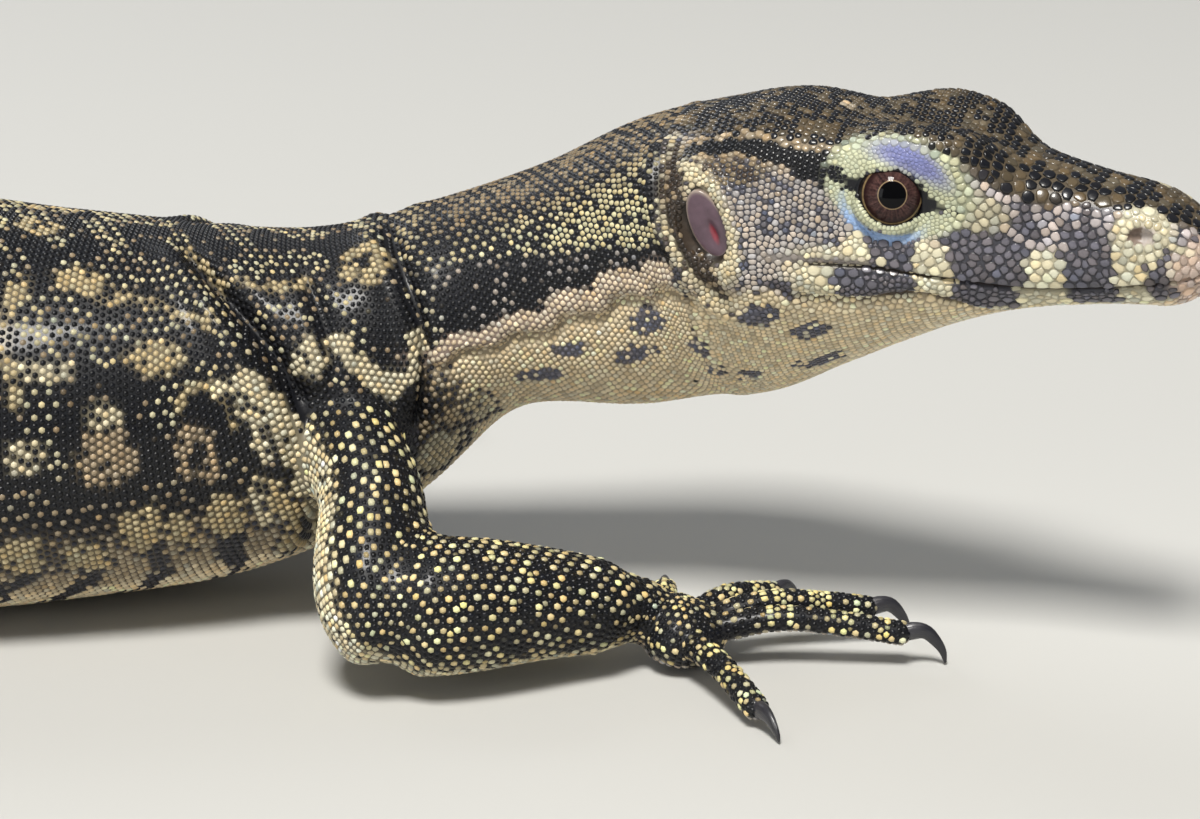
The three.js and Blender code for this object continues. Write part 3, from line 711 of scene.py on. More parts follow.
def opening_reach(x, y):
    """How far from the middle of the eye the edge of the lids lies, the way of (x, y)."""
    return EYE_RADIUS * np.sin(np.radians(lid_opening(np.arctan2(y, x))))


# A lid from its edge out to its reach, and how much of its thickness it stands up there.
LID_PROFILE = [
    *[(0.0, -0.9), (0.0, 0.1), (0.03, 0.5), (0.1, 0.88), (0.22, 1.0), (0.36, 0.95)],
    *[(0.5, 0.86), (0.66, 0.75), (0.82, 0.4), (1.0, -0.2), (1.0, -1.4)],
]


def lid_rings(side):
    """A closed ring of loose skin round the eyeball, thin at its two corners."""
    turn = evenly_round(96)[None, :] * -side
    edge = lid_opening(turn)
    thick = LIDS["thick"] * (0.12 + 0.88 * (1 - np.abs(np.cos(turn)) ** 6))
    rings = []
    for share, rise in LID_PROFILE:
        away = np.radians(edge + (LIDS["reach"] - edge) * share)
        radius = EYE_RADIUS + 0.12 + np.where(rise > 0, rise * thick, rise)
        rings.append(on_eye(side, turn, away, radius)[0])
    return np.array(rings)


def ellipsoid_rings(centre, axes, halves, steps=14, sides=28):
    """Rings of an ellipsoid along its third axis."""
    lift = np.linspace(0.08, np.pi - 0.08, steps)[:, None]
    turn = evenly_round(sides)[None, :]
    parts = [np.sin(lift) * np.cos(turn), np.sin(lift) * np.sin(turn), np.cos(lift) + 0 * turn]
    return centre + sum(p[..., None] * h * a for p, h, a in zip(parts, halves, axes))


def head_ellipsoid(side, at, half, lean=0.0):
    """An ellipsoid on the side of the head, leaning by an angle."""
    ahead = np.array([np.cos(lean), 0, -np.sin(lean)])
    up = np.array([np.sin(lean), 0, np.cos(lean)])
    axes = (ahead, up, np.array([0, side, 0]))
    return on_head(ellipsoid_rings(beside_head(at, side), axes, [half[k] for k in ("long", "tall", "depth")]))


def mend_faces(mesh, outwards=True, triangles=True):
    """Turns a mesh's faces outwards and parts them into triangles."""
    body = bmesh.new()
    body.from_mesh(mesh)
    if outwards:
        bmesh.ops.recalc_face_normals(body, faces=body.faces)
    if triangles:
        bmesh.ops.triangulate(body, faces=body.faces)
    body.to_mesh(mesh)
    body.free()


def solid_from(name, points, *faces):
    """A closed body of triangles that all face outwards."""
    mesh = make_mesh(name, points, *faces)
    mend_faces(mesh)
    return place_object(name, mesh)


def combine(piece, others, operation):
    """Join others to a piece or cut them from it, and leave the piece a plain mesh."""
    tools = bpy.data.collections.new("tools")
    for other in others:
        tools.objects.link(other)
    join = piece.modifiers.new("join", "BOOLEAN")
    join.operation = operation
    join.solver = "MANIFOLD"
    join.operand_type = "COLLECTION"
    join.collection = tools
    evaluated = piece.evaluated_get(bpy.context.evaluated_depsgraph_get())
    result = bpy.data.meshes.new_from_object(evaluated)
    piece.modifiers.clear()
    piece.data = result
    for other in others:
        bpy.data.objects.remove(other)
    bpy.data.collections.remove(tools)
    return piece


def build_skin():
    """The trunk and the limbs as one closed skin, with eye sockets, ears, nostrils and lids."""
    skin = solid_from("skin", *closed_grid(SOURCES["trunk"][0]))
    limbs = [solid_from(name, *closed_grid(SOURCES[name][0])) for name in TUBES]
    skin = combine(skin, limbs, "UNION")
    recess = {**EAR, "back": EAR["back"] + RECESS_BEHIND, "up": EAR["up"] - RECESS_LOWER}
    cuts = []
    for side in (-1, 1):
        ball = ellipsoid_rings(beside_head(EYE, side), gaze(side), [EYE_RADIUS + 0.1] * 3, 24, 48)
        hollows = {
            "socket": on_head(ball),
            "ear_cup": head_ellipsoid(side, EAR, EAR_HALF, EAR_LEAN),
            "ear_recess": head_ellipsoid(side, recess, RECESS_HALF, EAR_LEAN),
            "nostril": head_ellipsoid(side, NOSTRIL, NOSTRIL_HALF),
        }
        cuts += [solid_from(name, *closed_grid(rings)) for name, rings in hollows.items()]
    skin = combine(skin, cuts, "DIFFERENCE")
    lids = []
    for side in (-1, 1):
        rings = lid_rings(side)
        lids.append(solid_from("lids", rings.reshape(-1, 3), ring_faces(*rings.shape[:2], closed=True)))
    skin = combine(skin, lids, "UNION")
    mend_faces(skin.data, outwards=False)
    return skin


TUBES = limb_tubes()
SOURCES = skin_sources()
skin = build_skin()


def corner_points(mesh):
    """The number of the point at every corner of every face of a mesh, in turn."""
    corners = np.empty(len(mesh.loops), np.int32)
    mesh.loops.foreach_get("vertex_index", corners)
    return corners


def point_normals(points, triangles):
    """Normals at the points, from the faces round each."""
    a, b, c = (points[triangles[:, k]] for k in range(3))
    normals = np.zeros_like(points)
    turned = np.cross(b - a, c - a)
    for k in range(3):
        np.add.at(normals, triangles[:, k], turned)
    return unit(normals)


def hollow_edges(points, triangles, sharpness=0.9):
    """The points on edges where two faces meet in a hollow corner."""
    a, b, c = (points[triangles[:, k]] for k in range(3))
    normals, middles = unit(np.cross(b - a, c - a)), (a + b + c) / 3
    ends = np.concatenate([triangles[:, pair] for pair in ([0, 1], [1, 2], [2, 0])])
    ends = np.sort(ends, axis=1)
    face = np.tile(np.arange(len(triangles)), 3)
    order = np.lexsort((ends[:, 1], ends[:, 0]))
    ends, face = ends[order], face[order]
    twin = np.flatnonzero((ends[1:] == ends[:-1]).all(axis=1))
    one, two = face[twin], face[twin + 1]
    flat = (normals[one] * normals[two]).sum(axis=1)
    hollow = (normals[one] * (middles[two] - middles[one])).sum(axis=1) > 0
    return np.unique(ends[twin][hollow & (flat < sharpness)])


def tree_of(points):
    """A search tree that finds the nearest of the points, by number."""
    tree = KDTree(len(points))
    for i, point in enumerate(points):
        tree.insert(point, i)
    tree.balance()
    return tree


def near_points(points, marked, reach):
    """For each point, 1 at a marked one down to 0 at the reach."""
    tree = tree_of(points[marked])
    low, high = points[marked].min(axis=0) - reach, points[marked].max(axis=0) + reach
    share = np.zeros(len(points))
    for i in np.flatnonzero(((points > low) & (points < high)).all(axis=1)):
        share[i] = max(0, 1 - tree.find(points[i])[2] / reach)
    return share


def relaxed(points, edges, share, times):
    """Points drawn towards the mean of their neighbours, by their share."""
    count = np.bincount(edges.ravel(), minlength=len(points))[:, None]
    for _ in range(times):
        total = np.zeros_like(points)
        np.add.at(total, edges[:, 0], points[edges[:, 1]])
        np.add.at(total, edges[:, 1], points[edges[:, 0]])
        points = points + (total / np.maximum(count, 1) - points) * share[:, None]
    return points


def edges_of(mesh):
    """The two points of every edge."""
    edges = np.empty(len(mesh.edges) * 2, np.int32)
    mesh.edges.foreach_get("vertices", edges)
    return edges.reshape(-1, 2)


class Places:
    """Finds the tube, the place along it and the angle round it nearest to a point."""

    def __init__(self, sources):
        self.names = list(sources)
        self.tube = np.concatenate([np.full(s[1].size, i) for i, s in enumerate(sources.values())])
        self.along = np.concatenate([s[1].ravel() for s in sources.values()])
        self.angle = np.concatenate([s[2].ravel() for s in sources.values()])
        self.tree = tree_of(np.vstack([s[0].reshape(-1, 3) for s in sources.values()]))

    def find(self, points):
        """For each point the tube's number, the place, the angle and how far off it is."""
        found = [self.tree.find(p) for p in points]
        nearest = np.array([f[1] for f in found])
        away = np.array([f[2] for f in found])
        return self.tube[nearest], self.along[nearest], self.angle[nearest], away


places = Places(SOURCES)


def seen_by_eye(place, side):
    """Places near an eye in its own axes: along the lids, up, and out of the head."""
    ray = place - beside_head(EYE, side)
    return [ray @ axis for axis in gaze(side)]


LID_MARGIN = {"reach": 2.5, "degrees": 9}


def on_lid_margin(points):
    """Whether points lie inside the edge of the lids, or just outside it."""
    found = np.zeros(len(points), bool)
    for side in (-1, 1):
        x, y, depth = seen_by_eye(into_head(points), side)
        away = np.degrees(np.arctan2(np.hypot(x, y), depth))
        near = np.sqrt(x * x + y * y + depth * depth) < EYE_RADIUS + LID_MARGIN["reach"]
        found |= near & (away < lid_opening(np.arctan2(y, x)) + LID_MARGIN["degrees"])
    return found


# How hollow corners of the skin are rounded: how near to one a point is drawn in, how
# strongly, with a limit to that, and how many times.
ROUNDING = {"body": (3.6, 1.2, 0.75, 22), "feet": (1.3, 1.0, 0.6, 5), "head": (0.9, 1.0, 0.5, 3)}


def settle_skin(skin):
    """Rounds the corners where the limbs leave the body, and keeps it off the floor."""
    mesh = skin.data
    points, triangles = mesh_points(mesh), corner_points(mesh).reshape(-1, 3)
    tube, _, _, away = places.find(points)
    of_foot = [i for i, name in enumerate(places.names) if "digit" in name or "palm" in name]
    on_foot = np.isin(tube, of_foot)
    marked = hollow_edges(points, triangles)
    marked = marked[away[marked] > 0.01]
    marked = marked[~on_lid_margin(points[marked])]
    of_head = (points[marked, 0] > 50) & (points[marked, 2] > 32)
    groups = {
        "body": (~of_head & ~on_foot[marked], ~on_foot),
        "feet": (~of_head & on_foot[marked], True),
        "head": (of_head, True),
    }
    edges = edges_of(mesh)
    for name, (reach, strength, limit, times) in ROUNDING.items():
        corners, free = groups[name]
        share = near_points(points, marked[corners], reach)
        points = relaxed(points, edges, np.clip(share * strength, 0, limit) * free, times)
    points[:, 2] = np.maximum(points[:, 2], FLOOR_GAP)
    mesh.vertices.foreach_set("co", (points * MM + shift).astype(np.float32).ravel())
    mesh.update()
    return points, triangles


skin_points, skin_triangles = settle_skin(skin)
skin_normals = point_normals(skin_points, skin_triangles)
surface = BVHTree.FromPolygons(skin_points.tolist(), skin_triangles.tolist())


def on_skin(points):
    """The nearest points of the skin, their normals and how far away they were."""
    found = [surface.find_nearest(p) for p in points]
    spots = np.array([f[0] for f in found])
    face = skin_triangles[[f[2] for f in found]]
    away = np.array([f[3] for f in found])
    corners = skin_points[face]
    weights = 1 / (np.linalg.norm(corners - spots[:, None], axis=2) + 0.05)
    normals = unit((skin_normals[face] * weights[..., None]).sum(axis=1))
    return spots, normals, away


# How far apart the scales lie along the body and round it, by the place along it.
PITCH_PLACES = [76, 110, 150, 200, 250, 330, 420, 560, 760, TOTAL_LENGTH]
row_pitch = curve_through(
    list(zip(PITCH_PLACES, [0.84, 0.86, 0.92, 1.0, 1.3, 1.5, 1.75, 2.0, 2.3, 2.4]))
)
round_pitch = curve_through(
    list(zip(PITCH_PLACES, [0.86, 0.98, 1.12, 1.25, 1.5, 1.65, 1.7, 1.6, 1.35, 1.0]))
)
# The share of the scales that are likeliest to be pale, as on a limb full of dots.
DOTS = 0.3
# Angles from the middle of the back round to it again, by way of the right side.
ONCE_ROUND = (np.pi / 2, np.pi * 2.5)
# How much wider the lattice is on the belly, by girth and by scale.
BELLY_GIRTH, BELLY_WIDTH = 0.35, 0.45


class Layout:
    """Roots of scales: point (columns 0 to 2), tube (3), place along it (4), angle round it
    (5), size (6), stretch (7), bend (8), and 1 for every third scale of a lattice, which
    is the likeliest to be pale (9)."""

    def __init__(self):
        self.parts = []

    def add(self, points, *columns):
        """Adds a root for each point; a column may be one value for all of them."""
        count = len(points)
        columns = [np.broadcast_to(np.asarray(c, float), (count,)) for c in columns]
        self.parts.append(np.column_stack([points, *columns]))

    def table(self):
        """All roots so far, a row each."""
        return np.vstack(self.parts)


def on_belly(angle):
    """1 under the body, 0 on its sides and back."""
    return smooth(-np.sin(angle), 0.55, 0.9)


def spread_round(girth_points, count, offset, share_of_belly):
    """Angles that part a closed ring of points evenly, or more widely on the belly."""
    angles = np.linspace(*ONCE_ROUND, len(girth_points))
    steps = np.linalg.norm(np.diff(girth_points, axis=0), axis=1)
    middle = (angles[1:] + angles[:-1]) / 2
    steps = steps * (1 - share_of_belly * on_belly(middle))
    travel = np.concatenate([[0], np.cumsum(steps)])
    wanted = (np.arange(count) + offset) / count * travel[-1]
    return np.interp(wanted, travel, angles), travel[-1]


def every_third(row, count):
    """1 for the scales of a row that lie on a wider lattice, three times as open."""
    return (np.arange(count) - row // 2 - row) % 3 == 0


def trunk_layout(layout, first, last):
    """Transverse rows of scales, each half a scale on from the row before."""
    back, row, rows = first, 0, []
    while back < last:
        rows.append(back)
        back += float(row_pitch(back)[0])
    ring = np.linspace(*ONCE_ROUND, 121)
    girths = trunk_point(np.array(rows)[:, None], ring[None, :], -COAT)
    backs, angles, thirds = [], [], []
    for row, back in enumerate(rows):
        _, girth = spread_round(girths[row], 1, 0, BELLY_GIRTH)
        count = max(8, 4 * round(girth / float(round_pitch(back)[0]) / 4))
        turn, _ = spread_round(girths[row], count, 0.5 * (row % 2), BELLY_GIRTH)
        backs.append(np.full(count, back))
        angles.append(turn)
        thirds.append(every_third(row, count))
    backs, angles, thirds = np.concatenate(backs), np.concatenate(angles), np.concatenate(thirds)
    size = row_pitch(backs)[..., 0]
    wide = round_pitch(backs)[..., 0] * (1 + BELLY_WIDTH * on_belly(angles))
    radius = section(backs)[..., 0]
    points = trunk_point(backs, angles, -COAT)
    layout.add(points, 0, backs, angles, (size + wide) / 2, wide / size, 0.5 / radius, thirds)


# How far apart the scales of a limb's parts lie along it and round it.
LIMB_SCALES = {
    "upper": (0.95, 1.0),
    "lower": (0.92, 0.98),
    "wrist": (0.85, 0.95),
    "palm": (0.85, 0.95),
    "digit": (0.9, 1.05),
}
LEG_SCALE = 1.4


def limb_layout(layout, number, name, tube):
    """Rows of scales round a tube, each half a scale on from the row before."""
    along, around = next(v for k, v in LIMB_SCALES.items() if k in name)
    if "leg" in name:
        along, around = along * LEG_SCALE, around * LEG_SCALE
    rows = int(tube.length / along)
    ring = np.linspace(*ONCE_ROUND, 61)
    row_places = (np.arange(rows) + 0.5) / rows
    girths = tube.surface(row_places[:, None], ring[None, :], -COAT)
    for row, u in enumerate(row_places):
        _, girth = spread_round(girths[row], 1, 0, 0)
        count = max(6, 2 * round(girth / around / 2))
        turn, _ = spread_round(girths[row], count, 0.5 * (row % 2), 0)
        half = float(tube.sizes(u)[0])
        points = tube.surface(np.full(count, u), turn, -COAT)
        third = every_third(row, count)
        layout.add(points, number, u, turn, (along + around) / 2, around / along, 0.5 / half, third)


def head_zones(points):
    """How much each zone of the head counts at each point, and where scales are hidden."""
    place = into_head(points)
    back, out, up = -place[:, 0], np.abs(place[:, 1]), place[:, 2]
    _, _, angle, _ = places.find(points)
    turn = right_side_angle(angle)
    edge = np.interp(back, *CROWN_EDGE)
    crown = 1 - smooth(turn, edge - 6, edge + 2)
    zones = {
        "crown": crown * smooth(back, 26, 34),
        "snout top": crown * (1 - smooth(back, 26, 34)),
        "snout side": (1 - crown) * (1 - smooth(back, 32, 40)) * (1 - smooth(turn, 205, 225)),
        "throat": smooth(turn, 196, 212) * smooth(back, 8, 20),
    }
    lids = np.zeros(len(points))
    hidden = (np.abs(mouth_height(back, turn) - 0.5) < 0.28) & (back > 46) & (back < 60)
    for side in (-1, 1):
        x, y, depth = seen_by_eye(place, side)
        lids = np.maximum(lids, (1 - smooth(np.hypot(x / 1.12, y), 6.6, 9.0)) * (depth > 0))
        hidden |= (np.hypot(x, y) < opening_reach(x, y) + 0.25) & (depth > 0)
        hidden |= lid_corner(x, y) * (depth > 0) > 0.5
    reach, _ = ear_reach(back, up)
    recess = (EAR["back"] + RECESS_BEHIND - back) / RECESS_HALF["long"]
    recess = np.hypot(recess, (up - EAR["up"]) / RECESS_HALF["tall"])
    hidden |= ((reach < 1.03) | (recess < 0.8)) & (out > 11)
    hole = (back - NOSTRIL["back"]) / NOSTRIL_HALF["long"]
    hole = np.hypot(hole, (up - NOSTRIL["up"]) / NOSTRIL_HALF["tall"])
    hidden |= (hole < 1.12) & (out > 3)
    zones["lids"] = lids
    zones["ear rim"] = (1 - smooth(reach, 1.5, 2.1)) * (out > 11)
    zones["nostril"] = (1 - smooth(hole, 1.6, 2.8)) * (out > 3)
    return zones, hidden


def lid_corner(x, y):
    """1 on the dark wedges of skin ahead of the eye and behind it, in the eye's axes."""
    half = 1.75 * np.clip((np.where(x > 0, 8.1, 7.6) - np.abs(x)) / 3.9, 0, 1)
    return inside(np.abs(y + 0.02 * x) / (half + 0.02), 0.12) * (np.abs(x) > 3.6)


# The edge of the crown, then that between the lips or cheeks and the throat: places
# along the head, and the angle down its side there.
CROWN_EDGE = [
    [0, 10, 14, 19, 24, 30, 36, 42, 46, 52, 58, 66, 76],
    [120, 130, 130, 134, 144, 139, 134, 130, 127, 129, 130, 124, 112],
]
CHIN_EDGE = [
    [2, 6, 13, 24, 31, 35, 40, 48, 54, 61, 77],
    [222, 228, 238, 242, 236, 217, 204, 203, 198, 196, 200],
]
# For each zone, how far its scales are across and, as a share of their length, how narrow.
HEAD_SCALES = {
    "crown": (1.0, 0.6),
    "snout top": (1.35, 0.7),
    "snout side": (1.0, 0.7),
    "throat": (0.75, 0.7),
    "ear rim": (0.62, 0.8),
    "nostril": (0.95, 1.0),
    "lids": (0.46, 0.8),
}


def head_spacing(points):
    """Across each scale of the head (0 where there are none), and its narrowness."""
    zones, hidden = head_zones(points)
    spacing, narrow = np.full(len(points), 0.72), np.full(len(points), 0.9)
    for zone, (across, share) in HEAD_SCALES.items():
        spacing += (across - spacing) * zones[zone]
        narrow += (share - narrow) * zones[zone]
    return np.where(hidden, 0, spacing), narrow


def along_line(line, length, offset=0.0):
    """Places spaced evenly along a line of points, and the directions of the line there."""
    travel = np.concatenate([[0], np.cumsum(np.linalg.norm(np.diff(line, axis=0), axis=1))])
    count = max(2, round(travel[-1] / length))
    at = (np.arange(count) + offset) / count * travel[-1]
    spots, next_spots = (
        np.column_stack([np.interp(place, travel, line[:, k]) for k in range(3)]) for place in (at, at + 0.3)
    )
    return spots, unit(next_spots - spots), at / travel[-1]


def scale_rows(spots, across, narrow):
    """A table of scales of one size: their points, size and narrowness."""
    return np.column_stack([spots, np.full((len(spots), 2), [across, narrow])])


# Rows of plates beside the mouth line: how far from it, how tall, and how far back the
# row runs. All have the same length, and each row starts half a plate on.
LIP_PLATE = 1.85
UPPER_LIP_ROWS = [
    *[(0.88, 1.35, 45), (2.2, 1.3, 50), (3.45, 1.25, 46)],
    *[(4.6, 1.15, 38), (5.7, 1.1, 35), (6.75, 1.1, 33)],
]
LOWER_LIP_ROWS = [(-0.98, 1.5, 54), (-2.4, 1.35, 54), (-3.7, 1.25, 40)]


def lip_rows():
    """Plates in rows over and under the mouth line, right round the snout."""
    nose = NOSE_ROUNDING * (1 - np.cos(np.linspace(0.48, 0.26, 5)))
    backs = np.concatenate([np.arange(JAW_CORNER - 1, 1, -0.5), nose])
    right, left = lip_angles(backs)
    line = np.vstack([trunk_point(backs, right, -COAT), trunk_point(backs, left, -COAT)[::-1]])
    rows = []
    for number, (away, tall, last) in enumerate(UPPER_LIP_ROWS + LOWER_LIP_ROWS):
        spots, ahead, _ = along_line(line, LIP_PLATE, 0.5 * (number % 2))
        _, normals, _ = on_skin(spots)
        up = unit(np.cross(normals, ahead))
        up *= np.where(up @ HEAD_TURN[:, 2] > 0, 1, -1)[:, None]
        spots, _, _ = on_skin(spots + up * away)
        keep = (head_spacing(spots)[0] > 0) & (into_head(spots)[:, 0] > -last)
        rows.append(scale_rows(spots, tall, tall / LIP_PLATE)[keep])
    return rows


# Lines of plates on each side of the head: places along it and angles, and the plates'
# length and height. The brow's edge, and the curve under the eye.
BROW_EDGE = [[54, 51, 48, 45, 42, 39, 36, 32], [133, 129, 127, 126.5, 129, 132, 134, 136]]
UNDER_EYE = [[50, 47.5, 45, 42, 39, 36.5, 34, 31.5], [169, 175, 177.5, 178.5, 178, 176, 172, 166]]
PLATE_LINES = [(BROW_EDGE, 1.5, 1.05), (UNDER_EYE, 1.55, 1.2)]


def plate_rows():
    """The plates of those lines, on both sides."""
    rows = []
    for line, length, tall in PLATE_LINES:
        steps = range(len(line[0]))
        share = np.linspace(0, 1, 60) * steps[-1]
        back, turn = (np.interp(share, steps, values) for values in line)
        for angle in (np.radians(turn), np.pi - np.radians(turn)):
            spots, _, _ = along_line(trunk_point(back, angle, -COAT), length, 0.5)
            rows.append(scale_rows(spots, tall, tall / length))
    return rows


# Rows of beads along the lids: degrees out from their edge, and the size of a bead.
LID_BEADS = [(5.5, 0.66), (12.5, 0.68), (19.5, 0.66)]


def lid_beads():
    """Small round scales in rows along the edges of the lids."""
    rows = []
    turn = np.linspace(0, 2 * np.pi, 361)
    for side in (-1, 1):
        for number, (degrees, size) in enumerate(LID_BEADS):
            line = on_eye(side, turn, np.radians(lid_opening(turn) + degrees), EYE_RADIUS + 1.1)
            spots, _, share = along_line(line, size, 0.5 * (number % 2))
            spots, _, _ = on_skin(spots)
            keep = (np.abs(np.cos(share * 2 * np.pi)) < 0.955) & (head_spacing(spots)[0] > 0)
            rows.append(scale_rows(spots, size, 1.0)[keep])
    return rows


# Rows across the head: by the place along it, how far apart the rows lie, and the scales
# in each.
cheek_pitch = curve_through([[50, 0.8, 0.78], [77, 0.8, 0.74]])
throat_pitch = curve_through([[9, 1.2, 0.9], [30, 1.05, 0.78], [50, 0.88, 0.7], [77, 0.86, 0.72]])
crown_pitch = curve_through(
    [
        *([2, 1.3, 1.5], [18, 1.6, 1.75], [27, 1.5, 1.6], [34, 1.15, 1.15]),
        *([42, 1.05, 0.88], [54, 1.1, 0.95], [66, 1.05, 0.98], [77, 0.95, 0.95]),
    ]
)
ROW_JITTER = 0.075  # as a share of a scale


def rows_across(first, last, pitches, ends):
    """Rows of scales across the head between two angles, each half a scale on."""
    rows, back = [], first
    while back < last:
        pitch, across = pitches(back)
        start, end = ends(back)
        line = trunk_point(back, np.radians(np.linspace(start, end, 81)), -COAT)
        spots, _, _ = along_line(line, across, 0.25 + 0.5 * (len(rows) % 2))
        spots += draw.normal(0, ROW_JITTER, spots.shape) * across
        rows.append(scale_rows(spots, across, across / pitch / 1.75))
        back += float(pitch)
    return rows


def cheek_ends(back):
    """The angles between which a row of scales runs down the right cheek."""
    return np.interp(back, *CROWN_EDGE) + 4, np.interp(back, *CHIN_EDGE) + 1


def cheek_rows():
    """Rows across both cheeks, clear of the lips, the lids and the ears."""
    rows = []
    for ends in (cheek_ends, lambda back: 540 - np.array(cheek_ends(back))):
        rows += rows_across(51.0, HEAD_END - 0.5, cheek_pitch, ends)
    rows = np.vstack(rows)
    spots, _, away = on_skin(rows[:, :3])
    spacing, _ = head_spacing(spots)
    zones, _ = head_zones(spots)
    _, back, angle, _ = places.find(spots)
    near_mouth = np.abs(mouth_height(back, right_side_angle(angle))) < 4
    near_mouth &= into_head(spots)[:, 0] > -62
    clear = (zones["lids"] < 0.05) & (zones["ear rim"] < 0.3) & ~near_mouth
    return np.column_stack([spots, rows[:, 3:]])[(away < 1.5) & (spacing > 0) & clear]


def crown_ends(back):
    """The angles between which a row runs over the crown, from side to side."""
    edge = np.interp(back, *CROWN_EDGE) - 3
    return 180 - edge, edge


def throat_ends(back):
    """The angles between which a row runs under the throat, from side to side."""
    edge = np.interp(back, *CHIN_EDGE) + 5
    return edge, 540 - edge


def without_crowded(near, gap, limit):
    """Which scales stay when each takes the place of later ones that come too close."""
    keep = np.ones(len(near), bool)
    for i in range(len(near)):
        for other, distance in zip(near[i], gap[i]):
            if keep[i] and other > i and distance < limit(i, other):
                keep[other] = False
    return keep


def fixed_on_head():
    """Every scale of the head that lies in a row, without those that crowd earlier ones."""
    crown = rows_across(3.0, HEAD_END - 0.2, crown_pitch, crown_ends)
    throat = rows_across(10.0, HEAD_END - 0.5, throat_pitch, throat_ends)
    table = np.vstack([*lid_beads(), *lip_rows(), *plate_rows(), *crown, *throat, cheek_rows()])
    near, gap = neighbours(table[:, :3], 5)
    return table[without_crowded(near, gap, lambda i, other: 0.4 * (table[i, 3] + table[other, 3]))]


def stretched_gap(apart, narrow, ahead):
    """Distances between scales, with those along the body counted as shorter."""
    along = apart @ ahead
    return np.sqrt(np.maximum((apart * apart).sum(axis=-1) - (1 - narrow**2) * along**2, 1e-6))


# Random points tried on the head, the smallest scale there, the cells that the points are
# sorted into, and the cells that lie round one.
TRIALS, SMALLEST, CELL = 130000, 0.5, 1.6
NEAR_CELLS = list(itertools.product((0, -1, 1), repeat=3))


def drawn_on_head():
    """Points drawn at random on the head, more of them where its scales are smaller."""
    middles = skin_points[skin_triangles].mean(axis=1)
    _, along, _, _ = places.find(middles)
    on_front = (into_head(middles)[:, 0] > -80) & (middles[:, 2] > 20) & (along < HEAD_END - 0.3)
    a, b, c = (skin_points[skin_triangles[on_front][:, k]] for k in range(3))
    areas = np.linalg.norm(np.cross(b - a, c - a), axis=1)
    size, narrow = head_spacing((a + b + c) / 3)
    areas = areas * (size > 0) / (np.maximum(size, SMALLEST) ** 2 / narrow)
    chosen = draw.choice(len(areas), TRIALS, p=areas / areas.sum())
    one, two = np.sort(draw.random((2, TRIALS)), axis=0)[:, :, None]
    return a[chosen] * one + b[chosen] * (two - one) + c[chosen] * (1 - two)


def near_cells(cells, x, y, z):
    """The members of a cell and of all those round it."""
    for dx, dy, dz in NEAR_CELLS:
        yield from cells.get((x + dx, y + dy, z + dz), ())


def taken_in_turn(points, sizes, narrows, first_free):
    """The numbers of points that are no nearer than a scale to those taken before them.
    The points before the first free one are all taken."""
    cells, taken = {}, []
    rows, shapes = points.tolist(), (1 - narrows**2).tolist()
    reaches = (0.43 * sizes).tolist()
    fx, fy, fz = HEAD_TURN[:, 0]
    for i, (x, y, z) in enumerate(np.floor(points / CELL).astype(int).tolist()):
        px, py, pz = rows[i]
        close = False
        for j in near_cells(cells, x, y, z) if i >= first_free else ():
            qx, qy, qz = rows[j]
            dx, dy, dz = qx - px, qy - py, qz - pz
            along = dx * fx + dy * fy + dz * fz
            gap = dx * dx + dy * dy + dz * dz - 0.5 * (shapes[i] + shapes[j]) * along * along
            if gap < (reaches[i] + reaches[j]) ** 2:
                close = True
                break
        if not close:
            cells.setdefault((x, y, z), []).append(i)
            taken.append(i)
    return taken


# How scales drawn at random are evened out: how many times, against how many neighbours,
# how far from each, as a share of both sizes, and how much of the way at a time.
EVENING = {"times": 6, "neighbours": 9, "apart": 0.52, "step": 0.2}


def scattered_on_head():
    """Scales of the head: those in rows, and others drawn at random and then evened out."""
    plates = fixed_on_head()
    spots = drawn_on_head()
    spacing, narrow = head_spacing(spots)
    scattered = np.column_stack([spots, spacing, narrow])[spacing > 0]
    kept = np.vstack([plates, scattered])
    kept = kept[taken_in_turn(kept[:, :3], kept[:, 3], kept[:, 4], len(plates))]
    kept, sizes, narrows = kept[:, :3], kept[:, 3], kept[:, 4]
    free = np.arange(len(kept)) >= len(plates)
    for _ in range(EVENING["times"]):
        near, _ = neighbours(kept, EVENING["neighbours"])
        apart = kept[:, None] - kept[near]
        gap = stretched_gap(apart, 0.5 * (narrows[:, None] + narrows[near]), HEAD_TURN[:, 0])
        rest = EVENING["apart"] * (sizes[:, None] + sizes[near])
        push = np.maximum(rest - gap, 0) / gap
        move = (apart * push[..., None]).sum(axis=1) * EVENING["step"]
        kept[free], _, _ = on_skin(kept[free] + move[free])
        sizes[free], narrows[free] = head_spacing(kept[free])
        sizes[free] = np.maximum(sizes[free], SMALLEST)
    return kept, sizes, narrows


def neighbours(points, count):
    """The nearest other points of each point, and how far away they are."""
    tree = tree_of(points)
    found = [tree.find_n(point, count + 1)[1:] for point in points]
    near = np.array([[f[1] for f in row] for row in found])
    gap = np.array([[f[2] for f in row] for row in found])
    return near, gap


# A root further than this from the skin is left out: on the head and limbs, and then on
# the body behind a place.
ROOT_REACH, BODY_ROOT_REACH, BODY_STARTS = 1.3, 0.7, 130


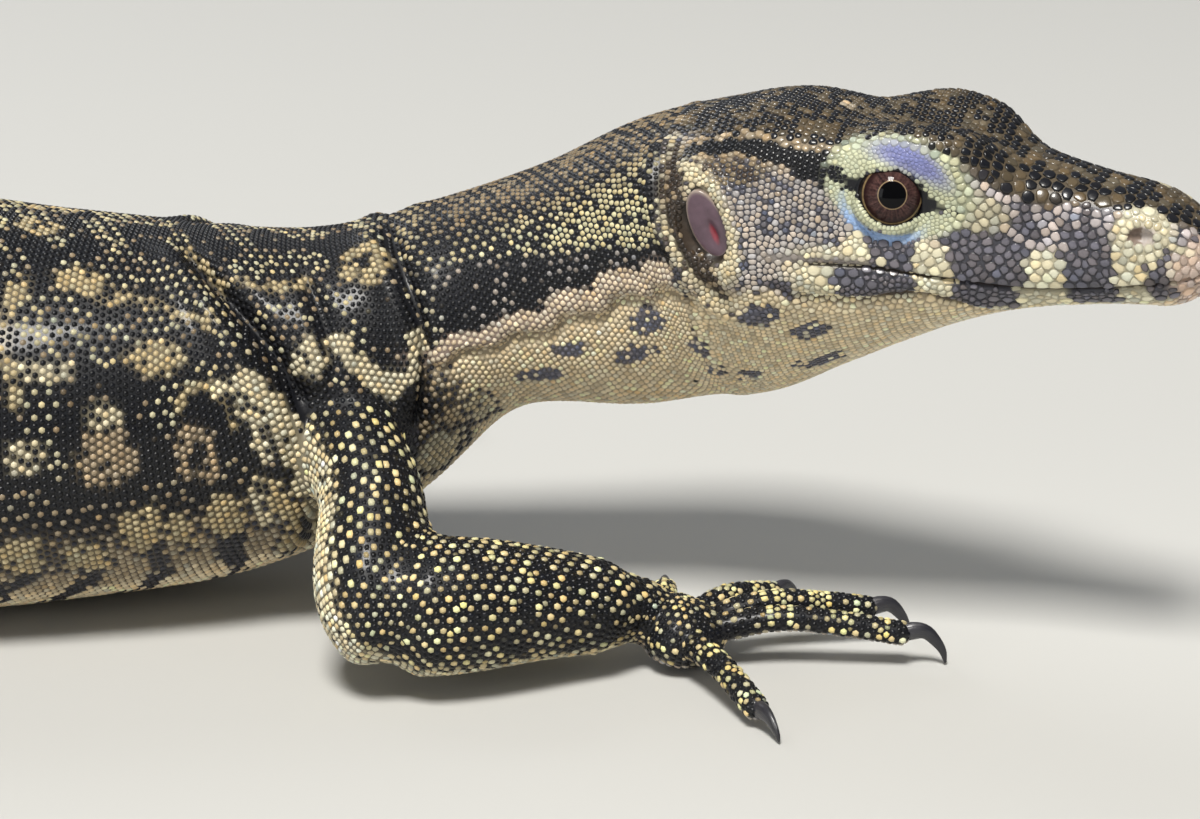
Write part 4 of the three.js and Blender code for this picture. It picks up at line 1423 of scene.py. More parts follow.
def lay_out_scales():
    """Every scale's root on the skin, with its normal and the way that it lies."""
    layout = Layout()
    points, sizes, narrows = scattered_on_head()
    _, along, angle, _ = places.find(points)
    third = draw.random(len(points)) < DOTS
    layout.add(points, 0, along, angle, sizes / np.sqrt(narrows), narrows, 0.03, third)
    trunk_layout(layout, HEAD_END + 0.1, TOTAL_LENGTH - 1.2)
    for number, name in enumerate(SOURCES):
        if name != "trunk":
            limb_layout(layout, number, name, TUBES[name])
    table = layout.table()
    spots, normals, away = on_skin(table[:, :3])
    on_the_head = np.arange(len(table)) < len(points)
    on_body = (table[:, 3] == 0) & (table[:, 4] > BODY_STARTS)
    near = (away < ROOT_REACH) & (away <= np.where(on_body, BODY_ROOT_REACH, ROOT_REACH))
    clear_of_floor = (spots[:, 2] > 0.25) | (normals[:, 2] > -0.8)
    keep = (on_the_head | near) & clear_of_floor
    table, spots, normals = table[keep], spots[keep], normals[keep]
    size = table[:, 6]
    keep = without_crowded(*neighbours(spots, 4), lambda i, other: 0.5 * min(size[i], size[other]))
    return table[keep], spots[keep], normals[keep]


roots, root_spots, root_normals = lay_out_scales()


# Colours of the scales, in linear light.
INK = np.array([0.006, 0.0065, 0.009])
SLATE = np.array([0.06, 0.06, 0.075])
BROWN = np.array([0.085, 0.062, 0.045])
OLIVE = np.array([0.15, 0.115, 0.07])
TAN = np.array([0.40, 0.31, 0.20])
CREAM = np.array([0.68, 0.60, 0.41])
YELLOW = np.array([0.66, 0.60, 0.30])
LIP_CREAM = np.array([0.76, 0.70, 0.50])
PINK = np.array([0.56, 0.43, 0.35])
CHEEK = np.array([0.47, 0.42, 0.38])
MAUVE = np.array([0.45, 0.40, 0.39])
LIP_GREY = np.array([0.155, 0.145, 0.17])
THROAT = np.array([0.86, 0.71, 0.47])
WARM = np.array([0.52, 0.42, 0.24])
LID = np.array([0.56, 0.58, 0.40])
LID_BLUE = np.array([0.23, 0.25, 0.50])
LID_EDGE = np.array([0.30, 0.44, 0.70])
# The flank's pale marks: place along the body, angle, half length and half height in
# millimetres, how pale they are, and their colour. A ring keeps its middle dark.
SPOTS = [
    (168.5, 178, 3.7, 4.6, 0.92, TAN, "full"),
    (156, 180, 3.0, 4.2, 0.92, TAN, "ring"),
    (160.5, 149, 5.0, 2.6, 0.85, WARM, "full"),
    (154.5, 203.5, 2.6, 4.3, 0.95, WARM, "full"),
    (149.3, 202, 1.8, 4.4, 0.95, CREAM, "full"),
    (160.3, 205, 1.6, 4.2, 0.95, WARM, "full"),
    (165, 202, 2.6, 4.6, 0.95, WARM, "full"),
    (173, 211, 3.4, 3.6, 0.9, WARM, "full"),
    (181, 208, 3.4, 4.4, 0.9, WARM, "full"),
    (173.5, 124, 3.8, 2.6, 0.9, WARM, "full"),
    (181, 99, 4.2, 2.4, 0.85, WARM, "ring"),
    (176.5, 152, 4.4, 1.5, 0.7, CREAM, "full"),
    (168.5, 165, 2.4, 2.0, 0.7, CREAM, "full"),
    (179, 176, 2.6, 2.4, 0.7, CREAM, "full"),
    (188, 150, 3.2, 2.8, 0.8, WARM, "ring"),
    (190, 172, 3.4, 3.0, 0.8, TAN, "ring"),
    (124, 124, 3.7, 3.7, 0.85, WARM, "ring"),
    (138, 160, 2.9, 2.5, 0.8, CREAM, "full"),
    (128, 230, 3.6, 4.4, 0.97, CREAM, "full"),
    (119, 222, 2.4, 3.4, 0.95, CREAM, "full"),
]
# Pale lines on the flank and shoulder: their points, half width, how pale, and colour.
STROKES = [
    ([(158, 164), (156, 159), (152.5, 159), (151, 166), (150, 174)], 0.9, 0.85, WARM),
    ([(152, 160), (149, 162), (147.5, 168), (147, 177), (147, 186)], 1.1, 0.9, CREAM),
    (
        [(147.5, 160), (145, 168), (144, 178), (143.5, 190), (143.5, 204), (144, 216), (146, 240)],
        *(1.6, 0.95, CREAM),
    ),
    ([(147.5, 196), (147.5, 212), (148.5, 236)], 1.2, 0.85, WARM),
    ([(132.5, 156), (131, 170), (128.5, 183), (124, 180), (121.6, 168)], 1.35, 0.97, CREAM),
    ([(155, 104), (152.5, 113), (149, 123), (143, 126)], 0.8, 0.7, WARM),
    ([(141, 129), (134, 128)], 0.8, 0.7, WARM),
    ([(170, 131), (164, 129), (158, 134), (151, 138)], 0.9, 0.7, WARM),
    ([(181, 120), (183, 140), (180, 162)], 0.9, 0.6, WARM),
]
# Black marks there, then the line of the stripe behind the eye, and the smudges of the
# throat. All are given by places along the body and angles.
BLOCKS = [(125, 151, 4.0, 4.6), (132, 195, 4.6, 6.0), (151, 174, 2.6, 3.0), (141.5, 190, 3.0, 12.0)]
TEMPLE_STRIPE = [
    *[(49, 148.5), (51, 145), (53.5, 140.5), (56, 138), (59.5, 133)],
    *[(62, 130.5), (65.5, 127), (71.5, 128), (74, 137.5), (77, 148)],
]
SMUDGES = [
    *[(86, 201), (62, 202), (56, 213), (68, 232), (56, 236)],
    *[(77, 215), (92, 212), (76, 227), (101, 203), (108, 214)],
]
# Dark bars across the lips: where they start and end along the head, and their lower and
# upper ends in millimetres above the line of the mouth.
LIP_BARS = [
    (6.2, 9.6, -2.6, 6.5),
    (14.0, 20.7, -4.5, 7.5),
    (25.5, 36.0, -0.1, 6.5),
    (27.2, 35.6, -4.5, 0.1),
    (40.5, 46.8, -0.2, 4.6),
    (39.8, 51.5, -3.9, -0.1),
    (57.0, 62.0, -3.6, -1.6),
]
# Rows of ocelli across the body and the bands of the tail: millimetres apart, and half
# their size along and round the body.
OCELLI_ALONG, OCELLI_ROUND, OCELLUS_HALF = 21.0, 11.5, (4.4, 4.2)
TAIL_BANDS, TAIL_BAND_HALF = 34, 4.6


def waves(points, length, seed, count=10):
    """A smooth field of about -1 to 1 that changes over the given length."""
    field = np.random.default_rng(seed)
    ways = unit(field.normal(size=(count, 3))) * (2 * np.pi / length)
    ways = ways * field.uniform(0.7, 1.4, (count, 1))
    starts = field.uniform(0, 2 * np.pi, count)
    return np.sin(points @ ways.T + starts).sum(axis=1) / np.sqrt(count)


def from_stroke(back, turn, radius, line):
    """How far, in millimetres, a place on the body is from a line drawn on it."""
    nearest = np.full(back.shape, 1e3)
    for (b0, t0), (b1, t1) in zip(line[:-1], line[1:]):
        x, y = back - b0, np.radians(turn - t0) * radius
        dx, dy = b1 - b0, np.radians(t1 - t0) * radius
        share = np.clip((x * dx + y * dy) / (dx * dx + dy * dy), 0, 1)
        nearest = np.minimum(nearest, np.hypot(x - share * dx, y - share * dy))
    return nearest


class Coat:
    """Colours being laid on: how often a scale is pale, its pale and dark colours, and the
    colour of the seams between scales, which is a dim one of theirs where none is laid."""

    def __init__(self, chance):
        count = len(chance)
        self.pale = np.zeros(count)
        self.light = np.tile(CREAM, (count, 1))
        self.dark = np.tile(INK, (count, 1))
        self.seam = np.zeros((count, 4))
        self.chance = chance

    def lay(self, where, pale=None, light=None, dark=None, seam=None):
        """Lays new values over the old ones, by a share for each place or one for all."""
        where = np.clip(where, 0, 1) * np.ones(len(self.pale))
        if pale is not None:
            self.pale += (pale - self.pale) * where
        if light is not None:
            self.light += (light - self.light) * where[:, None]
        if dark is not None:
            self.dark += (dark - self.dark) * where[:, None]
        if seam is not None:
            self.seam += (np.append(seam, 1) - self.seam) * where[:, None]

    def colours(self):
        """Each place's colour, whether it is pale, and the colour of a seam there."""
        chosen = smooth(self.pale * 1.04 - self.chance, 0, 0.04)
        colours = self.dark + (self.light - self.dark) * chosen[:, None]
        seams = self.seam[:, :3] + colours * (0.4 * (1 - self.seam[:, 3:]))
        return colours, chosen, seams


def paint_body(coat, points, back, turn, radius):
    """Black skin flecked with yellow, rows of ocelli across it and pale, barred sides."""
    wander = waves(points, 9, 3) * 0.5
    along, turn_w = back + wander, turn + waves(points, 8, 4) * 1.6
    girth = np.radians(turn_w - 90) * radius
    upper = 1 - smooth(turn, 165, 200)
    drift = waves(points, 8, 8)
    fleck = smooth(drift, -0.9, 0.5)
    coat.lay(1.0, 0.05 + 0.24 * fleck, light=TAN * 0.62, seam=INK)
    yellow = upper * inside(np.abs(drift - 0.7) / 0.5)
    coat.lay(yellow, 0.42, light=CREAM * 0.5 + YELLOW * 0.25)
    rows = along / OCELLI_ALONG
    nearest_row = np.round(rows)
    column = girth / OCELLI_ROUND + 0.5 * (nearest_row % 2)
    from_row = (rows - nearest_row) * OCELLI_ALONG
    from_column = (column - np.round(column)) * OCELLI_ROUND
    away = np.hypot(from_row / OCELLUS_HALF[0], from_column / OCELLUS_HALF[1])
    ring = inside(away, 0.16) * (1 - inside(away / 0.42, 0.3) * 0.85)
    behind = smooth(back, 176, 190)
    coat.lay(ring * behind * (1 - smooth(turn, 200, 215)), 0.9, light=YELLOW * 0.5 + CREAM * 0.35)
    halo = inside(away / 1.32) * (1 - inside(away, 0.16))
    coat.lay(halo * behind * 0.9, 0.02)
    low = smooth(turn_w, 203 - 9 * inside(np.abs(back - 165) / 30), 211)
    paler = smooth(turn_w, 222, 236)[:, None]
    flank = TAN * 0.55 + CREAM * 0.25 + (THROAT - TAN * 0.55 - CREAM * 0.25) * paler
    coat.lay(low, 0.985, light=flank, dark=SLATE * 0.6, seam=TAN * 0.3)
    wave = np.sin(2 * np.pi * (along - 0.3 * girth) / 8.4 + 1.2 * np.sin(girth / 5))
    bar = smooth(wave, 0.4, 0.65)
    coat.lay(bar * smooth(turn_w, 198, 206) * (1 - smooth(turn_w, 238, 255)), 0.06, seam=INK * 2)
    coat.lay(inside(np.abs(turn - 200) / 9) * 0.6 * (back > 150), 0.35)


def paint_marks(coat, points, back, turn, radius, where):
    """The flank's own marks, laid only where they are wanted."""
    wander = waves(points, 4, 5) * 0.55
    along, turn_w = back + wander, turn + np.degrees(waves(points, 4, 6) * 0.55 / radius)
    for b, t, long, tall in BLOCKS:
        away = np.hypot((along - b) / long, np.radians(turn_w - t) * radius / tall)
        coat.lay(where * inside(away), 0.04)
    for b, t, long, tall, pale, colour, kind in SPOTS:
        away = np.hypot((along - b) / long, np.radians(turn_w - t) * radius / tall)
        coat.lay(where * inside(away / 1.3) * 0.9, 0.03)
        coat.lay(where * inside(away), pale, light=colour, seam=colour * 0.28)
        if kind == "ring":
            coat.lay(where * inside(away / 0.4, 0.3), 0.03, seam=INK)
    for line, half, pale, colour in STROKES:
        away = from_stroke(along, turn_w, radius, line)
        coat.lay(where * inside(away / half / 1.7) * 0.8, 0.03)
        coat.lay(where * inside(away / half), pale, light=colour, seam=colour * 0.28)


def paint_neck(coat, points, back, turn, radius):
    """A flecked nape, the dark band behind the ear, and below it the ridge and throat."""
    here = 1 - smooth(back, 112, 122)
    drift = waves(points, 6, 7)
    top = 1 - smooth(turn, 118, 150)
    coat.lay(here, 0.34 + 0.14 * drift, light=YELLOW * 0.45 + CREAM * 0.4, seam=INK * 1.5)
    coat.lay(here * top, 0.5 + 0.2 * drift, light=OLIVE * 1.6, dark=INK * 1.8)
    band_top = np.interp(back, [70, 82, 92, 101, 110, 120], [182, 177, 163, 152, 143, 138])
    band_low = np.interp(back, [70, 85, 96, 106, 116, 124], [193, 190, 188, 186, 181, 176])
    above = np.radians(band_top - turn) * radius
    zone = smooth(above, -0.5, 1.5) * (1 - smooth(above, 7, 14))
    coat.lay(here * zone, 0.7 - 0.3 * smooth(back, 84, 110) + 0.16 * drift)
    band = smooth(-above, -1, 0.8) * (turn < band_low + 3)
    coat.lay(here * band, 0.08 + 0.22 * (drift > 0.5), light=CHEEK * 0.6)
    below = from_side_crease(back, np.radians(turn), radius)
    ends = (1 - smooth(back, 121, 127)) * smooth(back, 58, 66)
    ridge = ends * inside(np.abs(below + 1.5) / 1.7)
    coat.lay(ridge, 0.99, light=CREAM * 0.55 + PINK * 0.45, seam=PINK * 0.4)
    under = smooth(below, -0.6, 0.4) * (1 - smooth(back, 116, 126))
    coat.lay(under, 1.0, light=THROAT, dark=SLATE, seam=THROAT * 0.45)
    paint_smudges(coat, points, back, turn, radius, under)
    coat.lay(under * (waves(points, 4.2, 9) > 1.75), 0.1, dark=INK)


def paint_smudges(coat, points, back, turn, radius, where):
    """Slate smudges on the throat and under the neck."""
    drift = waves(points, 6, 7)
    for i, (b, t) in enumerate(SMUDGES):
        slope = (turn - t) / 60 * 10
        away = np.hypot((back - b + slope) / (3.4 - 0.2 * (i % 3)), np.radians(turn - t) * radius / 1.15)
        coat.lay(where * inside(away + drift * 0.2, 0.4), 0.15, dark=SLATE * 2.4, seam=SLATE * 2)


# Angles over this lie on the side of the head, clear of the crown.
SIDE_OF_HEAD = 120


def paint_head(coat, points, back, turn, radius, side):
    """The whole head: an olive crown, mottled cheeks and snout, then all that lies on them."""
    drift, fine = waves(points, 7, 11), waves(points, 3.2, 12)
    here = 1 - smooth(back + drift, HEAD_END - 1.3, HEAD_END + 0.5)
    coat.lay(here, 0.36 + 0.32 * drift, light=OLIVE * 0.75, dark=INK * 1.5, seam=TAN * 0.22)
    flank = smooth(turn - np.interp(back, *CROWN_EDGE), -3, 5) * here
    cheek = CHEEK * (0.75 + 0.3 * smooth(turn, 150, 185))[:, None]
    coat.lay(flank, 0.86 + 0.16 * fine, light=cheek, dark=SLATE * 2, seam=SLATE * 0.8)
    on_snout = (1 - smooth(back, 33, 40)) * flank
    coat.lay(on_snout, 0.78 + 0.25 * drift, light=MAUVE, dark=LIP_GREY, seam=SLATE * 0.8)
    behind_ear = smooth(back, 72, 76) * flank
    coat.lay(behind_ear, 0.62 + 0.2 * fine, light=CREAM * 0.8)
    paint_lips(coat, points, back, turn, radius, here)
    stripe = from_stroke(back, turn, radius, TEMPLE_STRIPE)
    paint_temple(coat, back, turn, here, stripe)
    place = into_head(points)
    paint_nostril(coat, back, turn, place[:, 2])
    paint_ear(coat, back, place[:, 2], (turn > SIDE_OF_HEAD) * here)
    for which in (-1, 1):
        x, y, depth = seen_by_eye(place, which)
        paint_lids(coat, x, y, (depth > -1) * (side == which))
    coat.lay(inside(stripe / 0.8, 0.2) * (back < 53), 0.0, light=INK, dark=INK, seam=INK)


def paint_lips(coat, points, back, turn, radius, here):
    """Cream lips with grey bars, the pale chin and throat, the mouth's corner, and painted shade along the
    mouth line and the crease under the chin.
    """
    drift, fine = waves(points, 7, 11), waves(points, 3.2, 12)
    above = mouth_height(back, turn)
    cream_height = np.interp(back, [6, 24, 38, 50, 58], [5.6, 5.4, 4.4, 2.4, 1.2]) + 0.5 * drift
    lips = here * smooth(cream_height - above, -0.5, 0.7) * (1 - smooth(back, 54, 60))
    coat.lay(lips, 1.0, light=LIP_CREAM, seam=LIP_CREAM * 0.55)
    low_edge = np.interp(back, *CHIN_EDGE) - 6 * smooth(back, 56, 61)
    chin = here * smooth(turn - low_edge, 0, 3)
    coat.lay(chin, 1.0, light=THROAT * 0.88 + LID * 0.1, dark=SLATE, seam=THROAT * 0.5)
    paint_smudges(coat, points, back, turn, radius, chin)
    bars = np.zeros(len(points))
    for first, last, low, high in LIP_BARS:
        across = (back - (first + last) / 2 + 0.3 * fine) / ((last - first) / 2)
        upward = (above - (low + high) / 2) / ((high - low) / 2)
        square = (np.abs(across) ** 6 + np.abs(upward) ** 6) ** (1 / 6)
        bars = np.maximum(bars, inside(square, 0.12))
    bars *= (1 - smooth(turn - low_edge, -1, 1)) * here
    coat.lay(bars, 0.0, dark=LIP_GREY, seam=SLATE * 0.9)
    fold = inside(np.abs(above - 0.5) / 0.45) * smooth(back, 44, 49) * (1 - smooth(back, 60, 63))
    coat.lay(fold * here, 1.0, light=CHEEK * 0.6, seam=CHEEK * 0.45)
    # Painted shade: the seams along the groove of the mouth line are darkened.
    line = inside(np.abs(above) / 0.22, 0.4) * (1 - smooth(back, 56, 62)) * here
    coat.lay(line, seam=BROWN * 0.5)
    # Painted shade: the seams along the crease under the chin are darkened.
    crease = inside(np.abs(np.radians(turn - low_edge) * radius) / 0.35, 0.4)
    crease = crease * smooth(back, 30, 36) * here * (1 - smooth(back, 56, 62))
    coat.lay(crease, seam=BROWN * 0.9)
    tip = here * np.maximum(1 - smooth(back, 2.5, 5.5), inside(back / 6.5, 0.2) * (turn > 168))
    coat.lay(tip * (turn > 128), 1.0, light=PINK * 1.15, seam=PINK * 0.9)


def paint_temple(coat, back, turn, here, stripe):
    """The black stripe behind the eye, the pale one over it and the brown above the ear."""
    half = 1.3 + 0.9 * inside(np.abs(back - 54) / 4.5, 0.4)
    higher = smooth(-turn, -150, -134) * here
    coat.lay(inside(stripe / (half + 1.1), 0.1) * higher, 1.0, light=TAN * 0.9, seam=TAN * 0.5)
    over_ear = inside(np.hypot((back - 67) / 6.5, (turn - 143) * 0.3 / 2.4)) * here
    coat.lay(over_ear, 0.5, light=OLIVE * 1.3, dark=BROWN * 0.8)
    coat.lay(inside(stripe / half, 0.1), 0.0, light=INK, dark=INK * 0.8, seam=INK)


def paint_nostril(coat, back, turn, up):
    """Cream skin round the nostril, its pink and grey inside, and the spot on the crown."""
    on_side = turn > SIDE_OF_HEAD
    behind, above = back - NOSTRIL["back"], up - NOSTRIL["up"]
    round_hole = inside(np.hypot(behind, above) / 4.0) * on_side
    coat.lay(round_hole, 1, light=LIP_CREAM * 0.85, seam=LIP_CREAM * 0.6)
    inner = inside(np.hypot(behind / 2.0, above / 1.35)) * on_side
    coat.lay(inner, seam=CHEEK)
    coat.lay(inner * (back > NOSTRIL["back"] + 0.2), seam=PINK * 0.4)
    coat.lay(inside(np.hypot(back - 54, np.abs(turn - 90) / 4) / 1.1), 1, light=TAN * 1.2)


def paint_ear(coat, back, up, on_side):
    """The cream rim ahead of the ear, the brown fold behind it, and painted shade on the walls of its hollow.
    """
    reach, ahead = ear_reach(back, up)
    rear = smooth(-ahead, 0.0, 2.0)
    outer = inside(reach / 2.5, 0.15) * on_side * rear
    coat.lay(outer, 0.8, light=CREAM * 0.9, dark=BROWN, seam=CREAM * 0.3)
    rim = inside(reach / 1.6, 0.12) * on_side * (1 - rear)
    coat.lay(rim, 1.0, light=CREAM * 1.05, seam=CREAM * 0.5)
    fold = inside(reach / 1.95, 0.1) * on_side * rear
    coat.lay(fold, 0.2, light=TAN * 0.6, dark=BROWN * 0.5, seam=BROWN * 0.6)
    # Painted shade: the walls of the ear's hollow, down to the drum, get seams near black.
    coat.lay(inside(reach / 1.02, 0.1) * on_side, seam=BROWN * 0.2)


def paint_lids(coat, x, y, facing):
    """The pale lids with their blue patches and dark corners, in the eye's own axes."""
    lid = inside(np.hypot((x - 0.6) / 10.4, (y - 1.2) / np.where(y > 1.2, 6.9, 6.7)), 0.08) * facing
    ahead = inside(np.hypot((x - 10) / 6.0, (y - 0.6) / 2.8), 0.25) * facing
    coat.lay(ahead, 1.0, light=LIP_CREAM * 0.7, seam=LIP_CREAM * 0.3)
    coat.lay(lid, 1.0, light=LID, seam=LID * 0.6)
    blue = inside(np.hypot((x - 1.2) / 5.4, (y - 5.4 + 0.1 * x + 0.03 * x * x) / 1.7), 0.5) * facing
    coat.lay(blue, 1.0, light=LID_BLUE, seam=LID_BLUE * 0.9)
    crescent = inside(np.abs(np.hypot(x * 0.82, y + 0.2) - 5.85) / 0.55, 0.4) * (y < -1) * facing
    coat.lay(crescent * inside(np.abs(x + 0.6) / 5.6, 0.3), 1.0, light=LID_EDGE, seam=LID_EDGE)
    coat.lay(lid_corner(x, y) * facing, 0.0, dark=INK, seam=INK)
    edge = np.hypot(x, y) - opening_reach(x, y)
    coat.lay(inside(edge / 0.3, 0.3) * facing, 0.0, dark=INK, seam=INK)


# Pale bands of a toe, by their place along it.
TOE_BANDS, TOE_BAND_HALF = (0.32, 0.4, 0.6, 0.67, 0.86), 0.022


def paint_limb(coat, points, name, along, angle):
    """Black skin full of yellow dots, banded toes and a plain underside."""
    above = np.sin(angle)
    rear = unit(TUBES[name].at(along) - points)[:, 0]
    drift, fine = waves(points, 7, 21), waves(points, 2.6, 22)
    clusters = smooth(fine, 0.35, 1.2)
    dots = TAN * 0.65 + YELLOW * 0.4
    coat.lay(1.0, 0.25 + 0.05 * drift, light=dots, dark=INK, seam=INK)
    coat.lay(clusters, 0.4, light=YELLOW * 1.1)
    if "digit" in name:
        bands = sum(inside(np.abs(along - at) / TOE_BAND_HALF, 0.3) for at in TOE_BANDS)
        coat.lay(1.0, 0.2, light=dots)
        coat.lay(np.clip(bands, 0, 1) * (above > -0.5), 0.85, light=YELLOW * 1.05)
        coat.lay(smooth(-above, 0.6, 0.9), 0.9, light=CHEEK * 0.8, seam=CHEEK * 0.3)
    elif "palm" in name:
        coat.lay(smooth(-above, 0.5, 0.8), 0.8, light=CHEEK * 0.7, seam=CHEEK * 0.3)
    else:
        coat.lay(smooth(-above, 0.55, 0.9), 0.9, light=CREAM * 0.9, seam=CREAM * 0.2)
    if "upper" in name and "arm" in name:
        coat.lay(smooth(rear, 0.5, 0.75), 0.88, light=CREAM * 1.15, seam=CREAM * 0.25)


def paint_tail(coat, points, back, turn):
    """Pale bands round the tail."""
    away = np.abs((back + 1.5 * waves(points, 10, 31)) / TAIL_BANDS % 1 - 0.5) * TAIL_BANDS
    here = smooth(back, 395, 430)
    coat.lay(here, 0.1 + 0.1 * (turn < 150), light=YELLOW * 0.6 + TAN * 0.4)
    coat.lay(here * inside(away / TAIL_BAND_HALF, 0.2), 0.88, light=CREAM * 0.7 + YELLOW * 0.3)
    coat.lay(here * smooth(turn, 225, 245), 0.75, light=THROAT * 0.85, dark=SLATE)


def markings(points, tube, along, angle, chance):
    """The colour of each place, how pale it is, and the colour of the seams there."""
    result = [np.zeros((len(points), 3)), np.zeros(len(points)), np.zeros((len(points), 3))]
    for number, name in enumerate(places.names):
        here = np.flatnonzero(tube == number)
        if not len(here):
            continue
        coat = Coat(chance[here])
        spots, back, a = points[here], along[here], angle[here]
        if name == "trunk":
            turn = right_side_angle(a)
            radius = section(back)[..., 0]
            paint_body(coat, spots, back, turn, radius)
            paint_marks(coat, spots, back, turn, radius, 1.0)
            paint_neck(coat, spots, back, turn, radius)
            paint_marks(coat, spots, back, turn, radius, (back > 112) & (back < 131))
            paint_tail(coat, spots, back, turn)
            paint_head(coat, spots, back, turn, radius, np.where(np.cos(a) > 0, 1, -1))
        else:
            paint_limb(coat, spots, name, back, a)
        for whole, part in zip(result, coat.colours()):
            whole[here] = part
    return result


def tinted(colours, amount, seed):
    """Colours made a little lighter or darker, and warmer or cooler, one by one."""
    field = np.random.default_rng(seed)
    value = np.exp(field.normal(0, amount, (len(colours), 1)))
    warmth = field.normal(0, amount * 0.35, (len(colours), 1)) * np.array([1, 0.2, -1])
    return np.clip(colours * value * (1 + warmth), 0.002, 0.95)


# The pieces of the coat: name, tube names or a length of the trunk, and corners of a scale.
COAT_PIECES = [
    ("scales_head_right", (0, HEAD_END), 8),
    ("scales_head_left", (0, HEAD_END), 8),
    ("scales_neck", (HEAD_END, 110), 8),
    ("scales_shoulders", (110, 150), 6),
    ("scales_chest", (150, 188), 6),
    ("scales_ribs", (188, 225), 6),
    ("scales_flanks", (225, 290), 6),
    ("scales_belly", (290, 345), 6),
    ("scales_hips", (345, 425), 6),
    ("scales_tail_base", (425, 620), 6),
    ("scales_tail", (620, TOTAL_LENGTH + 1), 6),
    ("scales_arm_right", "arm_right", 6),
    ("scales_arm_left", "arm_left", 6),
    ("scales_leg_right", "leg_right", 6),
    ("scales_leg_left", "leg_left", 6),
]


def way_of_scales(table, normals):
    """For each scale, the way it points, towards the tail or the toes, and its left."""
    way = np.empty((len(table), 3))
    trunk = table[:, 3] == 0
    way[trunk] = -frame_at(table[trunk, 4])[1]
    for number, name in enumerate(places.names[1:], 1):
        here = table[:, 3] == number
        tube = TUBES[name]
        u = table[here, 4]
        way[here] = unit(tube.at(u + 1e-3) - tube.at(u - 1e-3))
    way -= (way * normals).sum(axis=1, keepdims=True) * normals
    way = unit(way)
    return way, np.cross(normals, way)


def outlines(near, size, corners, shrink, sharp):
    """The radius of each scale towards its corners, from the places of its neighbours."""
    apart = root_spots[near] - root_spots[:, None]
    x = (apart * scale_way[:, None]).sum(axis=2)
    y = (apart * scale_left[:, None]).sum(axis=2)
    turn = evenly_round(corners)
    toward = x[..., None] * np.cos(turn) + y[..., None] * np.sin(turn)
    share = size[:, None] / (size[:, None] + size[near])
    reach = np.maximum(share * (x * x + y * y), 1e-3)[..., None]
    power = sharp[:, None]
    hold = np.exp(np.log(np.maximum(toward, 1e-6) / reach) * power[..., None])
    radius = hold.sum(axis=1) ** (-1 / power)
    stretch = np.sqrt(roots[:, 7])
    long, wide = 0.6 * size / stretch, 0.6 * size * stretch
    across = (np.cos(turn) / long[:, None]) ** 2 + (np.sin(turn) / wide[:, None]) ** 2
    return np.minimum(radius, 1.25 / np.sqrt(across)) * shrink[:, None]


def tint_mesh(mesh, tint):
    """Keeps a colour and a share for every point of a mesh."""
    layer = mesh.color_attributes.new("tint", "FLOAT_COLOR", "POINT")
    layer.data.foreach_set("color", tint.ravel())


def levels_of(name, flat):
    """The rings of a scale, from its sunken rim to its shoulders: how wide, how high and
    how light they are. The scales of the head have one more, and some have flat tops."""
    # The lightness of the rings darkens each scale towards its sunken rim: partly the scales' own dark rims,
    # partly painted shade where the rim sinks between the scales.
    rim = (1.0, -0.42, 0.0)
    if "head" not in name:
        return [rim, (0.74, 0.7, 0.7)]
    shoulder = (0.88 + 0.02 * flat, 0.55 + 0.1 * flat, 0.3 - 0.2 * flat)
    return [rim, shoulder, (0.6 + 0.1 * flat, 0.9, 0.85)]


def dome_faces(count, corners, rings):
    """Faces of so many domes: quads between their rings and triangles round their tips."""
    each = corners * rings + 1
    start = (np.arange(count) * each)[:, None, None]
    k = np.arange(corners)
    after = (k + 1) % corners
    last = corners * (rings - 1)
    tips = np.column_stack([k + last, after + last, np.full(corners, each - 1)])
    quads = ring_faces(rings, corners)
    return [(faces[None] + start).reshape(-1, faces.shape[1]) for faces in (quads, tips)]


# On the map that the materials can be baked to: the size of a scale and the free margin.
BAKED_SCALE, BAKE_MARGIN = 0.0015, 0.01


